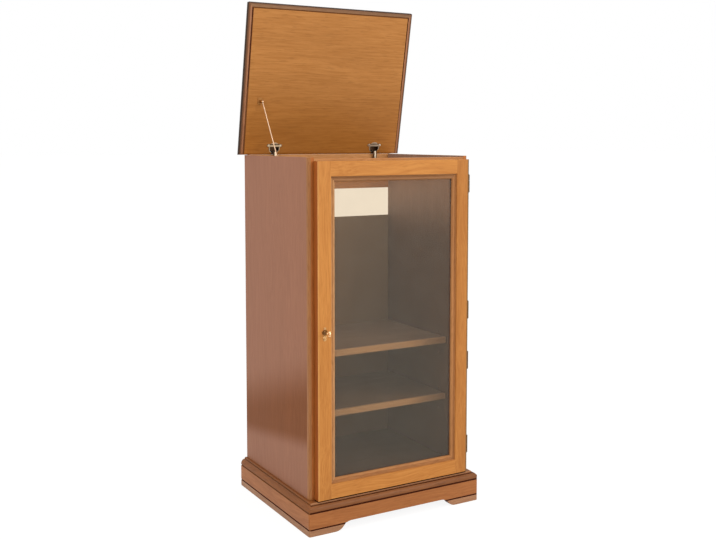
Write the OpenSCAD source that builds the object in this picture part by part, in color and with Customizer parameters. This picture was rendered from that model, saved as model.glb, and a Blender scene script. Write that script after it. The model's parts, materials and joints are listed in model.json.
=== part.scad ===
// Hi-fi cabinet with a glass door and a lift-up lid, shown with the lid open.
// Origin on the floor at the middle of the plinth, front towards -Y, sizes in millimetres.

/* [Carcass] */
// Width over the two side panels
body_w = 530; // [470:5:620]
// Depth of the side panels
body_d = 437; // [400:1:480]
// Height of the side panels
body_h = 954; // [860:1:1100]
// Thickness of the side panels
panel_t = 16; // [14:1:20]
// Thickness of the bottom and of the front top rail
board_t = 18; // [15:1:22]
// Depth of the solid edge strip on each side panel
edge_d = 16; // [12:1:20]
// Radius on the outer front corner of the edge strips
edge_r = 9; // [3:0.5:12]
// Depth of the rebate at the back that takes the back panel and the hinge rail
rebate_d = 12; // [10:0.5:14]
// Width of the same rebate
rebate_w = 8; // [5:0.5:10]
// Thickness of the back panel
back_t = 5; // [3:0.5:6]
// Height of the upper back rail that carries the lid hinges
hinge_rail_h = 112; // [80:1:130]
// Height of the open slot between the back panel and the hinge rail
slot_h = 92; // [40:1:120]
// Height of the front top rail
front_rail_h = 48; // [40:1:60]
// How far the front top rail and the bottom stand back from the panel edges
front_step = 1; // [0.5:0.5:3]
// How far the front top rail lies under the top of the sides
front_rail_drop = 4; // [2:1:8]

/* [Shelves] */
// Thickness of the shelves
shelf_t = 19; // [16:1:22]
// Height of the upper shelf's underside over the floor
shelf_upper_z = 464; // [420:1:560]
// Height of the lower shelf's underside over the floor
shelf_lower_z = 288; // [200:1:340]
// How far the shelves stand back from the front of the sides
shelf_setback = 82; // [60:1:110]
// Side play of a shelf at each end
shelf_play = 0.8; // [0.5:0.1:1.5]
// Depth of the solid strip on the shelf's front
shelf_edge_d = 8; // [5:1:12]
// Diameter of the shelf pins
shelf_pin_d = 5; // [4:0.5:6]
// Depth of the pin holes in the side panels
pin_hole_deep = 9; // [7:0.5:11]
// Distance of the pin holes above one another
pin_pitch = 32; // [24:1:40]
// Distance of the pin holes from the front and the back of the shelf
pin_inset = 40; // [25:1:60]
// How far the shelf pins stand out of the side panels
shelf_pin_out = 7; // [5:0.5:9]
// Gap between the shelves and the back panel
shelf_back_gap = 1; // [0.5:0.5:3]
// Radius on the front edges of the shelf's strip
shelf_round = 2; // [1:0.5:4]

/* [Plinth] */
// Height of the plinth with its moulding
plinth_h = 88; // [80:1:110]
// How far the plinth stands out at the sides
plinth_out = 21; // [18:0.5:26]
// How far the plinth stands out in front of the side panels
plinth_front = 37; // [33:0.5:44]
// Thickness of the plinth boards
plinth_t = 20; // [16:1:24]
// Height of the moulding on top of the plinth
moulding_h = 22; // [20:0.5:25]
// Radius of the large round of the moulding
moulding_r = 16; // [14:0.5:18]
// Radius of the small bead at the top of the moulding
bead_r = 2.75; // [2:0.25:3.5]
// How far the middle of that bead stands out from the body
bead_out = 3; // [2.5:0.25:3.5]
// Radius of the hollow between the bead and the large round
quirk_r = 1.6; // [1.2:0.1:1.8]
// Height of the flat at the foot of the moulding
moulding_flat = 3; // [2:0.5:4]
// Height of the lower groove over the floor
groove_z = 19; // [14:0.5:22]
// Width and depth of the grooves
groove_w = 2.5; // [1.5:0.25:3.5]
// Height of the arch between the front feet
arch_h = 24; // [18:0.5:30]
// Width of each bracket foot on the floor
foot_w = 83; // [60:1:110]
// Length over which the foot rises to the arch
foot_run = 50; // [35:1:70]
// Radius of the plinth's front corners
plinth_r = 6; // [3:0.5:10]
// Leg of the glued corner blocks
block_leg = 45; // [30:1:60]
// How far the corner blocks start above the arch
block_lift = 4; // [2:1:10]

/* [Lid] */
// How far the lid is open in the model, with the stay at its stop
lid_open = 79.2; // [70:0.1:84]
// Thickness of the lid
lid_t = 20; // [18:0.5:24]
// How far the lid stands over each side panel
lid_side_lap = 25; // [20:0.5:30]
// How far the lid stands over the back
lid_back_lap = 2; // [1:0.5:4]
// Gap between the closed lid and the sides
lid_gap = 1; // [0.6:0.1:2]
// Width of the moulded strip round the lid
lid_edge_w = 15.5; // [14:0.5:20]
// Radius of the strip's lower edge
lid_edge_r = 6; // [4:0.5:7]
// Radius of the strip's upper round
lid_top_r = 10; // [8:0.5:11]
// Radius of the lid's front corners seen from above
lid_corner_r = 7; // [3:0.5:10]
// Height of the flat on the strip's edge over its lower round
lid_flat = 2.5; // [2:0.1:3]
// How far the strip's upper round stands back from that flat
lid_step = 1.5; // [1:0.1:2]
// Width of the groove between the lid's panel and its strip
lid_groove_w = 2.4; // [1.5:0.1:3]
// Distance of the hinge pivot from the lid's back edge and from its underside
pivot_in = 7; // [6.6:0.1:8]

/* [Lid hinges] */
// Place of the left lid hinge from the left side
lid_hinge_left = 94; // [85:1:140]
// Place of the right lid hinge from the right side
lid_hinge_right = 73; // [60:1:140]
// Diameter of the hinge cups
cup_d = 35; // [34:0.5:36]
// Depth of the hinge cups
cup_deep = 12.5; // [12:0.1:13]
// Wall of the hinge cups
cup_wall = 1.5; // [1.2:0.1:1.8]
// Thickness of the cup flange
flange_t = 1.8; // [1.2:0.1:2]
// Length of the cup flange along the lid, over its two wings
flange_w = 50; // [46:1:56]
// Width of those wings
flange_bar = 9; // [7:0.5:10]
// Distance of the wings' middle line from the middle of the cup
flange_off = 9.5; // [9:0.5:11]
// Width of the rim round the cup's mouth
cup_rim = 1; // [0.8:0.1:2]
// Gap between the flange and the arm with the lid closed
arm_gap = 0.5; // [0.4:0.1:1]
// Width of the hinge arms
arm_w = 12; // [10:0.5:12.5]
// Thickness of the hinge arms
arm_t = 3; // [2.5:0.1:3.2]
// Diameter of the lid hinge pins
lid_pin_d = 3.5; // [3:0.1:4]
// Wood left between the cups and the lid's back edge
cup_back = 3.5; // [3:0.5:6]
// Radius of the arm's eye round the pin
eye_r = 3.8; // [3.5:0.1:4]
// Side play of the arm in its cup
arm_play = 1.3; // [0.8:0.1:1.5]
// How far the arm reaches down from the top of the sides
arm_drop = 55; // [50:1:65]
// How far the arm's thick foot starts under the top of the sides
foot_drop = 14; // [12:1:20]
// Thickness of the plate under the arm
arm_plate_t = 3; // [2:0.5:4]
// Width of each side wing of that plate
wing_w = 10; // [8:1:12]
// Height of those wings
wing_h = 14; // [12:1:16]
// How far the wings lie under the top of the sides
wing_drop = 30; // [28:1:32]
// Width of the slot in the arm
arm_slot_w = 4.4; // [4:0.1:5]

/* [Stay] */
// Diameter of the stay rod
rod_d = 3; // [2.5:0.5:5]
// Distance of the stay's lid pin from the lid hinge, along the lid
stay_reach = 161; // [150:1:175]
// Distance of the stay's lid pin under the closed lid
stay_drop = 8.5; // [8:0.5:10]
// Distance of the rod from the inside of the left panel
stay_off = 23; // [21:0.5:26]
// Angle at the lid hinge between the closed lid pin and the guide
stay_split = 4.5; // [4.4:0.1:6]
// Diameter of the swivelling guide
guide_d = 11; // [10:0.5:11.5]
// Length of the end stop on the rod
stop_len = 6; // [4:0.5:8]
// Diameter of the pin that carries the rod's eye
stay_pin_d = 3.5; // [3:0.1:4]
// Wall of the rod's eye and of the end stop
stay_wall = 2.5; // [2:0.1:3]
// Side play of the rod's eye on its pin
stay_eye_play = 0.6; // [0.4:0.1:1]
// Width of the lid bracket
bracket_w = 13; // [12:0.5:16]
// Length of the lid bracket
bracket_len = 20; // [16:1:26]
// Thickness of the lid bracket and of the base plate
bracket_t = 2; // [1.5:0.1:2.5]
// Thickness of the bracket's ear
ear_t = 3; // [2:0.5:4]
// Diameter of the base plate on the panel
base_d = 24; // [20:1:30]
// Length of the swivelling guide
guide_len = 18; // [16:0.5:19]
// Diameter of the stud that the guide turns on
stud_d = 6; // [5:0.5:6.5]
// Diameter of the thumb screw
knob_d = 8; // [7:0.5:10]
// Length of the thumb screw
knob_len = 6; // [4:0.5:8]
// Diameter of the thumb screw's thread
brake_d = 3; // [2.5:0.1:3.5]

/* [Door] */
// Thickness of the door frame
door_t = 22; // [20:0.5:25]
// Width of the door's stiles and rails
frame_w = 42; // [38:1:52]
// How far the door stands in from the outside of the panels
door_inset = 13; // [10:0.5:14]
// Gap between the door and the front of the panels
door_gap = 3.5; // [3:0.1:4.5]
// Gap under the door
door_low_gap = 3; // [2:0.5:5]
// How far the top of the door lies under the top of the sides
door_top_drop = 10; // [8:1:16]
// Width of the bead round the glass
bead_w = 15; // [13:0.5:18]
// Radius of the bead's nose
nose_r = 5; // [4:0.5:5.5]
// How deep the bead starts behind the frame's face
bead_step = 3.5; // [2:0.5:4.5]
// Thickness of the glass
glass_t = 4; // [3:0.5:5]
// Length of the tenons of the door rails
tenon_len = 20; // [12:1:30]
// Thickness of the tenons
tenon_t = 7; // [5:0.5:8]
// Shoulder above and below each tenon
shoulder = 8; // [5:1:10]
// Play of the glass in its frame
glass_play = 1; // [0.5:0.5:2]
// How far the strips behind the glass are narrower than the bead
stop_less = 3; // [2:0.5:5]
// Joint between the strips behind the glass
stop_joint = 0.2; // [0.1:0.1:0.5]
// Diameter of the soft pads that the door closes on
pad_d = 9; // [7:0.5:12]
// Distance of the pads from the inside of the panels
pad_in = 25; // [20:1:40]
// Height of the upper pads over the lower edge of the front top rail
pad_up = 20; // [10:1:30]
// How far the door clears the pads
pad_gap = 0.3; // [0.3:0.1:0.6]

/* [Door hinges] */
// Height of the top hinge under the top of the door
hinge_top = 72; // [60:1:120]
// Height of the lowest hinge over the bottom of the door
hinge_low = 81; // [60:1:120]
// Height of the third hinge over the lowest hinge
hinge_mid_low = 257; // [180:1:300]
// Distance between the two middle hinges
hinge_mid_gap = 153; // [100:1:200]
// Length of the hinges
hinge_len = 52; // [40:1:60]
// Radius of the hinge knuckles
knuckle_r = 4.3; // [4:0.1:4.5]
// Thickness of the hinge leaves
leaf_t = 1.8; // [1.5:0.1:2]
// Distance of the hinge pin from the door's edge
pin_out = 6.5; // [6.4:0.1:7]
// Distance of the hinge pin behind the door's face
pin_back = 12.5; // [11:0.5:13.5]
// Diameter of the hinge pins
hinge_pin_d = 4; // [3.5:0.1:4.5]
// Radial play of pins and of the rod in their bores
play = 0.05; // [0.02:0.01:0.1]
// Gap between neighbouring knuckles
knuckle_gap = 0.5; // [0.4:0.1:1]
// Depth of the leaf on the inside of the right panel
wrap_len = 30; // [20:1:40]
// How far the door's leaf reaches in front of its knuckle
leaf_front = 5; // [2:0.5:6]
// How far the door's leaf stays clear of the door's back
leaf_back = 2; // [1:0.5:4]
// Radius and height by which the pins' tips are larger
tip = 0.8; // [0.5:0.1:1]

/* [Lock] */
// Height of the key's axis over the floor
lock_z = 563; // [500:1:640]
// Distance of the key's axis from the door's left edge
lock_in = 21; // [20:0.5:24]
// Diameter of the lock barrel
barrel_d = 14; // [13:0.5:16]
// Diameter of the turning plug
plug_d = 10; // [9:0.5:11]
// Reach of the lock's tongue from the key's axis
tongue_len = 15.5; // [14.5:0.1:15.8]
// Thickness of the tongue
tongue_t = 2.5; // [2:0.1:3]
// Height of the keyhole plate
plate_h = 39; // [32:1:46]
// How far the keyhole plate reaches above the key's axis
plate_up = 15; // [13:0.5:17]
// Thickness of the keyhole plate
plate_t = 1.5; // [1:0.1:2]
// Thickness of the barrel's front rim
rim_t = 1.2; // [1:0.1:1.5]
// Width by which the rim stands round the barrel
rim_w = 1; // [0.8:0.1:1.2]
// Thickness of the nut behind the door
nut_t = 2.6; // [2:0.1:2.8]
// Length of the key in front of the plug
key_len = 29; // [26:0.5:32]
// Radius of the lobes of the key's bow
bow_r = 4.6; // [4:0.1:5]
// Thickness of the key's bow
bow_t = 2.2; // [1.8:0.1:2.6]
// Diameter of the key's shank
shank_d = 3.2; // [2.8:0.1:3.6]
// Thickness of the key's blade
blade_t = 1.4; // [1:0.1:1.5]
// Height of the catch
catch_h = 28; // [24:1:34]
// Depth of the catch on the panel
catch_d = 22; // [18:1:26]
// Reach of the catch's lip
catch_lip = 5.8; // [5.5:0.1:6]

/* [Hidden] */
$fn = 64;
eps = 0.01;
half_w = body_w / 2;
inner_x = half_w - panel_t;
y_back = (body_d + plinth_front) / 2;
y_front = y_back - body_d;
y_plinth = -y_back;
z_top = plinth_h + body_h;
plinth_x = half_w + plinth_out;
// the moulding stands the same distance out in front, past a flat ledge under the door
ledge_y = y_plinth + plinth_out;
moulding_z = plinth_h - moulding_h;
y_rebate = y_back - rebate_d;
rebate_x = inner_x + rebate_w;
hinge_rail_z = z_top - hinge_rail_h;
back_top = hinge_rail_z - slot_h;
rail_y = y_front + front_step;
front_rail_z = z_top - front_rail_drop - front_rail_h;
shelf_y = y_front + shelf_setback;
shelf_back_y = y_rebate - shelf_back_gap;
pin_ys = [shelf_y + pin_inset, shelf_back_y - pin_inset];
door_x = half_w - door_inset;
door_back_y = y_front - door_gap;
door_y = door_back_y - door_t;
door_z0 = plinth_h + door_low_gap;
door_z1 = z_top - door_top_drop;
glass_x = door_x - frame_w;
glass_z0 = door_z0 + frame_w;
glass_z1 = door_z1 - frame_w;
bead_back = bead_step + nose_r + 2;
stop_t = door_t - bead_back - glass_t - 1;
lid_x = half_w + lid_side_lap;
lid_y0 = door_y + 0.5;
lid_y1 = y_back + lid_back_lap;
lid_z0 = z_top + lid_gap;
lid_z1 = lid_z0 + lid_t;
core_x = lid_x - lid_edge_w;
core_y0 = lid_y0 + lid_edge_w;
pivot_y = lid_y1 - pivot_in;
pivot_z = lid_z0 + pivot_in;
lid_hinge_xs = [-half_w + lid_hinge_left, half_w - lid_hinge_right];
cup_y = lid_y1 - cup_back - cup_d / 2;
boss_w = arm_w + 2 * arm_play + 2 * cup_wall;
boss_y1 = pivot_y + eye_r + 1.5;
cup_z1 = lid_z0 + cup_deep;
wing_y = cup_y - flange_off;
arm_y = wing_y + flange_bar / 2 + arm_gap;
arm_low_z = z_top - arm_drop;
// the stay's lid pin and the guide lie on one circle round the hinge pin, so the rod
// always turns by half the angle of the lid
stay_x = -inner_x + stay_off;
stay_down = pivot_in + stay_drop;
stay_r = sqrt(stay_reach * stay_reach + stay_down * stay_down);
guide_a = atan(stay_down / stay_reach) + stay_split;
guide_y = pivot_y - stay_r * cos(guide_a);
guide_z = pivot_z - stay_r * sin(guide_a);
lid_pin_a = lid_open - atan(stay_down / stay_reach);
stay_pin_y = pivot_y - stay_r * cos(lid_pin_a);
stay_pin_z = pivot_z + stay_r * sin(lid_pin_a);
rod_a = atan2(stay_pin_z - guide_z, stay_pin_y - guide_y);
rod_reach = 2 * stay_r * sin((lid_open + stay_split) / 2);
stop_at = rod_reach + guide_d / 2 + 0.4;
rod_len = stop_at + stop_len + 3;
rod_eye_r = stay_pin_d / 2 + stay_wall;
guide_x1 = stay_x + guide_d / 2;
// wall of the guide between the stud's bore and the rod's
guide_wall = 1.5;
// the thumb screw ends this far from the rod
brake_gap = 0.3;
pin_x = door_x + pin_out;
pin_y = door_y + pin_back;
hinge_zs = [
    door_z1 - hinge_top,
    door_z0 + hinge_low + hinge_mid_low + hinge_mid_gap,
    door_z0 + hinge_low + hinge_mid_low,
    door_z0 + hinge_low,
];
lock_x = -door_x + lock_in;
tongue_y = y_front + 3;
plug_y = door_y - plate_t - 1;
// how deep the key's shank and blade go into the plug, and the height of the blade
shank_in = 1.3;
blade_len = 15.5;
blade_h = 6;
// the frame's leaf has the outer two knuckles, the door's the middle one
knuckle_len = (hinge_len - 2 * knuckle_gap) / 3;

// a board between two corners
module board(a, b) {
    translate(a) cube([b[0] - a[0], b[1] - a[1], b[2] - a[2]]);
}

// a round bar along X, Y or Z, from p over the length
module bar_x(p, d, len) {
    translate(p) rotate([0, 90, 0]) cylinder(d = d, h = len);
}

module bar_y(p, d, len) {
    translate(p) rotate([-90, 0, 0]) cylinder(d = d, h = len);
}

module bar_z(p, d, len) {
    translate(p) cylinder(d = d, h = len);
}

// turns what is drawn with the lid closed to the open lid of the model
module opened() {
    translate([0, pivot_y, pivot_z]) rotate([-lid_open, 0, 0])
        translate([0, -pivot_y, -pivot_z]) children();
}

// a profile drawn in X (outward) and Y (up), run along the left side, outward to -X
module run_left(x, y0, y1) {
    translate([x, y1, 0]) rotate([90, 0, 0]) linear_extrude(height = y1 - y0)
        mirror([1, 0, 0]) children();
}

// the same profile along the front, outward to -Y
module run_front(y, x0, x1) {
    translate([x0, y, 0]) rotate([90, 0, 90]) linear_extrude(height = x1 - x0)
        mirror([1, 0, 0]) children();
}

// a prism seen from above that keeps what lies in front of the two mitre lines
module front_wedge(x, y, z0, z1) {
    translate([0, 0, z0]) linear_extrude(height = z1 - z0)
        polygon([[-x, y], [x, y], [0, y + x]]);
}

// what lies left of the mitre line at the left front corner
module left_wedge(x, y, y1, z0, z1) {
    translate([0, 0, z0]) linear_extrude(height = z1 - z0)
        polygon([[-x, y], [-x, y1], [0, y1], [0, y + x]]);
}

// rounds the upright corner at the left front of a frame
module round_corner(x, y, r, z0, z1) {
    difference() {
        board([-x - 1, y - 1, z0 - 1], [-x + r, y + r, z1 + 1]);
        bar_z([-x + r, y + r, z0 - 2], 2 * r, z1 - z0 + 4);
    }
}

// two corner cuts, left and right
module round_corners(x, y, r, z0, z1) {
    round_corner(x, y, r, z0, z1);
    mirror([1, 0, 0]) round_corner(x, y, r, z0, z1);
}

// plinth board seen from its end, with its two grooves
module plinth_profile() {
    difference() {
        translate([-plinth_t, 0]) square([plinth_t, moulding_z]);
        translate([0, groove_z]) rotate(45) square(groove_w * 1.2, center = true);
        translate([0, moulding_z]) rotate(45) square(groove_w * 1.4, center = true);
    }
}

// moulding seen from its end, outward from the body: bead, quirk and large round
module moulding_profile(back) {
    low = moulding_z;
    top = plinth_h;
    difference() {
        union() {
            translate([-back, low]) square([back + bead_out, moulding_h]);
            translate([bead_out, top - bead_r]) circle(r = bead_r);
            translate([0, low]) square([plinth_out - moulding_r, moulding_h - 2 * bead_r]);
            intersection() {
                translate([plinth_out - moulding_r, low + moulding_flat]) circle(r = moulding_r);
                translate([0, low]) square([plinth_out, moulding_h]);
            }
            translate([0, low]) square([plinth_out, moulding_flat]);
        }
        translate([bead_out + bead_r + 1.1, top - 2 * bead_r + 1.5]) circle(r = quirk_r);
        translate([plinth_out, low]) rotate(45) square(groove_w * 1.4, center = true);
    }
}

module plinth_left() {
    color("#8e5f45")
        difference() {
            intersection() {
                run_left(-plinth_x, y_plinth, y_back) plinth_profile();
                left_wedge(plinth_x, y_plinth, y_back, -1, plinth_h);
            }
            round_corner(plinth_x, y_plinth, plinth_r, 0, plinth_h);
        }
}

module plinth_right() {
    mirror([1, 0, 0]) plinth_left();
}

// the cut under the front board that leaves two bracket feet
module foot_cut() {
    flat = plinth_x - foot_w - foot_run;
    rise = arch_h * 0.5;
    r1 = (foot_run * foot_run / 4 + rise * rise) / (2 * rise);
    translate([0, -1]) square([flat, arch_h + 1]);
    // hollow curve next to the arch, then the round toe of the foot
    intersection() {
        translate([flat, arch_h - r1]) circle(r = r1);
        translate([flat - eps, arch_h - rise]) square([foot_run / 2 + eps, rise + 1]);
    }
    difference() {
        translate([flat - eps, -1]) square([foot_run + eps, rise + 1]);
        translate([flat + foot_run, r1]) circle(r = r1);
    }
}

module plinth_front() {
    color("#a5693e")
        difference() {
            intersection() {
                run_front(y_plinth, -plinth_x, plinth_x) plinth_profile();
                front_wedge(plinth_x, y_plinth, -1, plinth_h);
            }
            round_corners(plinth_x, y_plinth, plinth_r, 0, plinth_h);
            for (s = [0, 1])
                mirror([s, 0, 0]) translate([0, y_plinth + plinth_t + 1, 0])
                    rotate([90, 0, 0]) linear_extrude(height = plinth_t + 2) foot_cut();
        }
}

module plinth_rear() {
    x = plinth_x - plinth_t;
    color("#8e5f45") board([-x, y_back - board_t, 0], [x, y_back, moulding_z]);
    color("#8e5f45")
        board([-x + plinth_t, y_back - board_t, moulding_z], [x - plinth_t, y_back, plinth_h]);
}

// three-sided blocks glued into the four corners of the plinth
module plinth_blocks() {
    x = plinth_x - plinth_t;
    y0 = y_plinth + plinth_t;
    y1 = y_back - board_t;
    leg = block_leg;
    z0 = arch_h + block_lift;
    color("#b98a5c")
        for (s = [0, 1])
            mirror([s, 0, 0]) {
                translate([0, 0, z0]) linear_extrude(height = moulding_z - z0)
                    polygon([[-x, y0], [-x + leg, y0], [-x, y0 + leg]]);
                translate([0, 0, z0]) linear_extrude(height = moulding_z - z0)
                    polygon([[-x, y1], [-x + leg, y1], [-x, y1 - leg]]);
            }
}

module moulding_left() {
    color("#825f41")
        difference() {
            intersection() {
                run_left(-half_w, y_plinth, y_back) moulding_profile(plinth_t - 1);
                left_wedge(plinth_x, y_plinth, y_back, 0, plinth_h + 1);
            }
            round_corner(plinth_x, y_plinth, plinth_r, moulding_z, plinth_h);
        }
}

module moulding_right() {
    mirror([1, 0, 0]) moulding_left();
}

module moulding_front() {
    back = plinth_front - plinth_out + board_t;
    color("#825f41")
        difference() {
            intersection() {
                run_front(ledge_y, -plinth_x, plinth_x) moulding_profile(back);
                front_wedge(plinth_x, y_plinth, 0, plinth_h + 1);
            }
            round_corners(plinth_x, y_plinth, plinth_r, moulding_z, plinth_h);
        }
}

module bottom_panel() {
    color("#9a6547") board([-inner_x, rail_y, plinth_h], [inner_x, y_rebate, plinth_h + board_t]);
}

// blind holes for the shelf pins, three at each place
module pin_holes() {
    for (y = pin_ys, z = [shelf_upper_z, shelf_lower_z], k = [-1, 0, 1])
        bar_x([-inner_x - pin_hole_deep, y, z - shelf_pin_d / 2 + k * pin_pitch], shelf_pin_d,
            pin_hole_deep + 1);
}

module side_left() {
    color("#9b6e57")
        difference() {
            board([-half_w, y_front + edge_d, plinth_h], [-inner_x, y_back, z_top]);
            board([-rebate_x, y_rebate, plinth_h - 1], [-inner_x + 1, y_back + 1, z_top + 1]);
            pin_holes();
        }
}

module side_right() {
    mirror([1, 0, 0]) side_left();
}

// solid edge strip with its rounded outer corner
module edge_left() {
    color("#be8255")
        difference() {
            board([-half_w, y_front, plinth_h], [-inner_x, y_front + edge_d, z_top]);
            round_corner(half_w, y_front, edge_r, plinth_h, z_top);
        }
}

module edge_right() {
    mirror([1, 0, 0]) edge_left();
}

module rail_front() {
    color("#9a6547")
        board([-inner_x, rail_y, front_rail_z], [inner_x, rail_y + board_t, front_rail_z + front_rail_h]);
}

module rail_hinge() {
    color("#9a6547") board([-rebate_x, y_rebate, hinge_rail_z], [rebate_x, y_back, z_top]);
}

module back_panel() {
    color("#8a6a50") board([-rebate_x, y_rebate, plinth_h], [rebate_x, y_rebate + back_t, back_top]);
}

module shelf(z) {
    x = inner_x - shelf_play;
    board([-x, shelf_y + shelf_edge_d, z], [x, shelf_back_y, z + shelf_t]);
}

// front strip of a shelf with two small rounds
module shelf_edge(z) {
    x = inner_x - shelf_play;
    r = shelf_round;
    translate([-x, 0, 0]) rotate([90, 0, 90]) linear_extrude(height = 2 * x)
        union() {
            translate([shelf_y + r, z]) square([shelf_edge_d - r, shelf_t]);
            translate([shelf_y, z + r]) square([shelf_edge_d, shelf_t - 2 * r]);
            translate([shelf_y + r, z + r]) circle(r = r);
            translate([shelf_y + r, z + shelf_t - r]) circle(r = r);
        }
}

module shelf_upper() {
    color("#a07058") shelf(shelf_upper_z);
}

module shelf_lower() {
    color("#a07058") shelf(shelf_lower_z);
}

module shelf_upper_edge() {
    color("#b07c5c") shelf_edge(shelf_upper_z);
}

module shelf_lower_edge() {
    color("#b07c5c") shelf_edge(shelf_lower_z);
}

module shelf_pins() {
    color("#c9c4b8")
        for (s = [0, 1], y = pin_ys, z = [shelf_upper_z, shelf_lower_z])
            mirror([s, 0, 0])
                bar_x([-inner_x - pin_hole_deep, y, z - shelf_pin_d / 2], shelf_pin_d,
                    pin_hole_deep + shelf_pin_out);
}

// soft pads that the door closes on
module door_buffers() {
    color("#3a3029")
        for (x = [-inner_x + pad_in, inner_x - pad_in])
            for (z = [front_rail_z + pad_up, plinth_h + board_t / 2])
                bar_y([x, door_back_y + pad_gap, z], pad_d, rail_y - door_back_y - pad_gap);
}

// where the lid is cut for a hinge cup, or the cup's own outside
module cup_room(x) {
    bar_z([x, cup_y, lid_z0 - 1], cup_d, cup_deep + 1);
    board([x - boss_w / 2, cup_y, lid_z0 - 1], [x + boss_w / 2, boss_y1, cup_z1]);
}

// takes the lower back edge of the lid off in a round about the hinge pivot
module lid_back_cut() {
    difference() {
        board([-lid_x - 1, pivot_y, lid_z0 - 1], [lid_x + 1, lid_y1 + 1, pivot_z]);
        bar_x([-lid_x - 2, pivot_y, pivot_z], 2 * pivot_in, 2 * lid_x + 4);
    }
}

module lid_panel() {
    color("#b97a47")
        opened()
            difference() {
                board([-core_x, core_y0, lid_z0], [core_x, lid_y1, lid_z1]);
                lid_back_cut();
                for (x = lid_hinge_xs)
                    cup_room(x);
                // groove that parts the panel from the moulded strip
                for (s = [0, 1])
                    mirror([s, 0, 0]) translate([-core_x, core_y0 - 1, lid_z0]) rotate([0, 45, 0])
                        cube([lid_groove_w, 2 * lid_y1, lid_groove_w], center = true);
                translate([0, core_y0, lid_z0]) rotate([45, 0, 0])
                    cube([2 * core_x + 2, lid_groove_w, lid_groove_w], center = true);
            }
}

// moulded strip of the lid seen from its end, outward from the panel
module lid_edge_profile() {
    h1 = lid_edge_r + lid_flat;
    round_x = lid_edge_w - lid_step - lid_top_r;
    difference() {
        translate([0, lid_z0]) square([lid_edge_w, h1]);
        difference() {
            translate([lid_edge_w - lid_edge_r, lid_z0 - 1]) square([lid_edge_r + 1, lid_edge_r + 1]);
            translate([lid_edge_w - lid_edge_r, lid_z0 + lid_edge_r]) circle(r = lid_edge_r);
        }
        translate([0, lid_z0]) rotate(45) square(lid_groove_w, center = true);
    }
    translate([0, lid_z0 + h1 - eps]) square([round_x, lid_t - h1 + eps]);
    intersection() {
        translate([round_x, lid_z1 - lid_top_r]) circle(r = lid_top_r);
        translate([0, lid_z0 + h1 - eps]) square([lid_edge_w, lid_t - h1 + eps]);
    }
}

module lid_edge_left() {
    color("#91644b")
        opened()
            difference() {
                intersection() {
                    run_left(-core_x, lid_y0, lid_y1) lid_edge_profile();
                    left_wedge(lid_x, lid_y0, lid_y1 + 1, lid_z0 - 1, lid_z1 + 1);
                }
                round_corner(lid_x, lid_y0, lid_corner_r, lid_z0, lid_z1);
                lid_back_cut();
            }
}

module lid_edge_right() {
    mirror([1, 0, 0]) lid_edge_left();
}

module lid_edge_front() {
    color("#91644b")
        opened()
            difference() {
                intersection() {
                    run_front(core_y0, -lid_x, lid_x) lid_edge_profile();
                    front_wedge(lid_x, lid_y0, lid_z0 - 1, lid_z1 + 1);
                }
                round_corners(lid_x, lid_y0, lid_corner_r, lid_z0, lid_z1);
            }
}

// flange of a hinge cup seen from below: a rim round the mouth and a bar with two round
// wings, cut off straight in front of the hinge rail
module flange_outline(x) {
    low = wing_y - flange_bar;
    wing_x = (flange_w - flange_bar) / 2;
    intersection() {
        union() {
            translate([x, cup_y]) circle(d = cup_d + 2 * cup_rim);
            translate([x - wing_x, wing_y - flange_bar / 2]) square([2 * wing_x, flange_bar]);
            for (s = [-1, 1])
                translate([x + s * wing_x, wing_y]) circle(d = flange_bar);
        }
        translate([x - flange_w, low]) square([2 * flange_w, y_rebate - 0.5 - low]);
    }
}

// hinge cup let into the lid, with its flange and the pin's boss
module lid_cup(x) {
    difference() {
        union() {
            bar_z([x, cup_y, lid_z0], cup_d, cup_deep);
            board([x - boss_w / 2, cup_y, lid_z0], [x + boss_w / 2, boss_y1, cup_z1]);
            translate([0, 0, lid_z0 - flange_t]) linear_extrude(height = flange_t)
                flange_outline(x);
        }
        // the bar between the wings covers the front of the mouth
        difference() {
            bar_z([x, cup_y, lid_z0 - flange_t - 1], cup_d - 2 * cup_wall, cup_deep + flange_t);
            board([x - cup_d, cup_y - cup_d, lid_z0 - flange_t - 2],
                [x + cup_d, wing_y + flange_bar / 2, lid_z0]);
        }
        board([x - boss_w / 2 + cup_wall, cup_y, lid_z0 - flange_t - 1],
            [x + boss_w / 2 - cup_wall, pivot_y + eye_r + 0.3, cup_z1 - 1]);
        bar_x([x - boss_w, pivot_y, pivot_z], lid_pin_d, 2 * boss_w);
        lid_back_cut();
    }
}

module lid_cups() {
    color("#c8c4bc")
        opened()
            for (x = lid_hinge_xs)
                lid_cup(x);
}

module lid_hinge_pins() {
    color("#a8a49c")
        for (x = lid_hinge_xs)
            bar_x([x - boss_w / 2, pivot_y, pivot_z], lid_pin_d, boss_w);
}

// cranked hinge arm seen from the side, with the eye that turns on the pin
module lid_arm_profile() {
    difference() {
        union() {
            translate([pivot_y, pivot_z]) circle(r = eye_r);
            translate([arm_y, pivot_z - arm_t / 2]) square([pivot_y - arm_y, arm_t]);
            translate([arm_y, arm_low_z]) square([arm_t, pivot_z - arm_low_z]);
            translate([arm_y, arm_low_z])
                square([y_rebate - arm_plate_t - arm_y, z_top - foot_drop - arm_low_z]);
        }
        translate([pivot_y, pivot_z]) circle(d = lid_pin_d + 2 * play);
    }
}

module lid_hinge_arms() {
    color("#d0ccc4")
        for (x = lid_hinge_xs)
            difference() {
                translate([x - arm_w / 2, 0, 0]) rotate([90, 0, 90])
                    linear_extrude(height = arm_w) lid_arm_profile();
                // slot along the arm for its two setting screws
                board([x - arm_slot_w / 2, arm_y - 1, arm_low_z + 5],
                    [x + arm_slot_w / 2, y_rebate - arm_plate_t - 2, z_top - foot_drop - 6]);
            }
}

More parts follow.
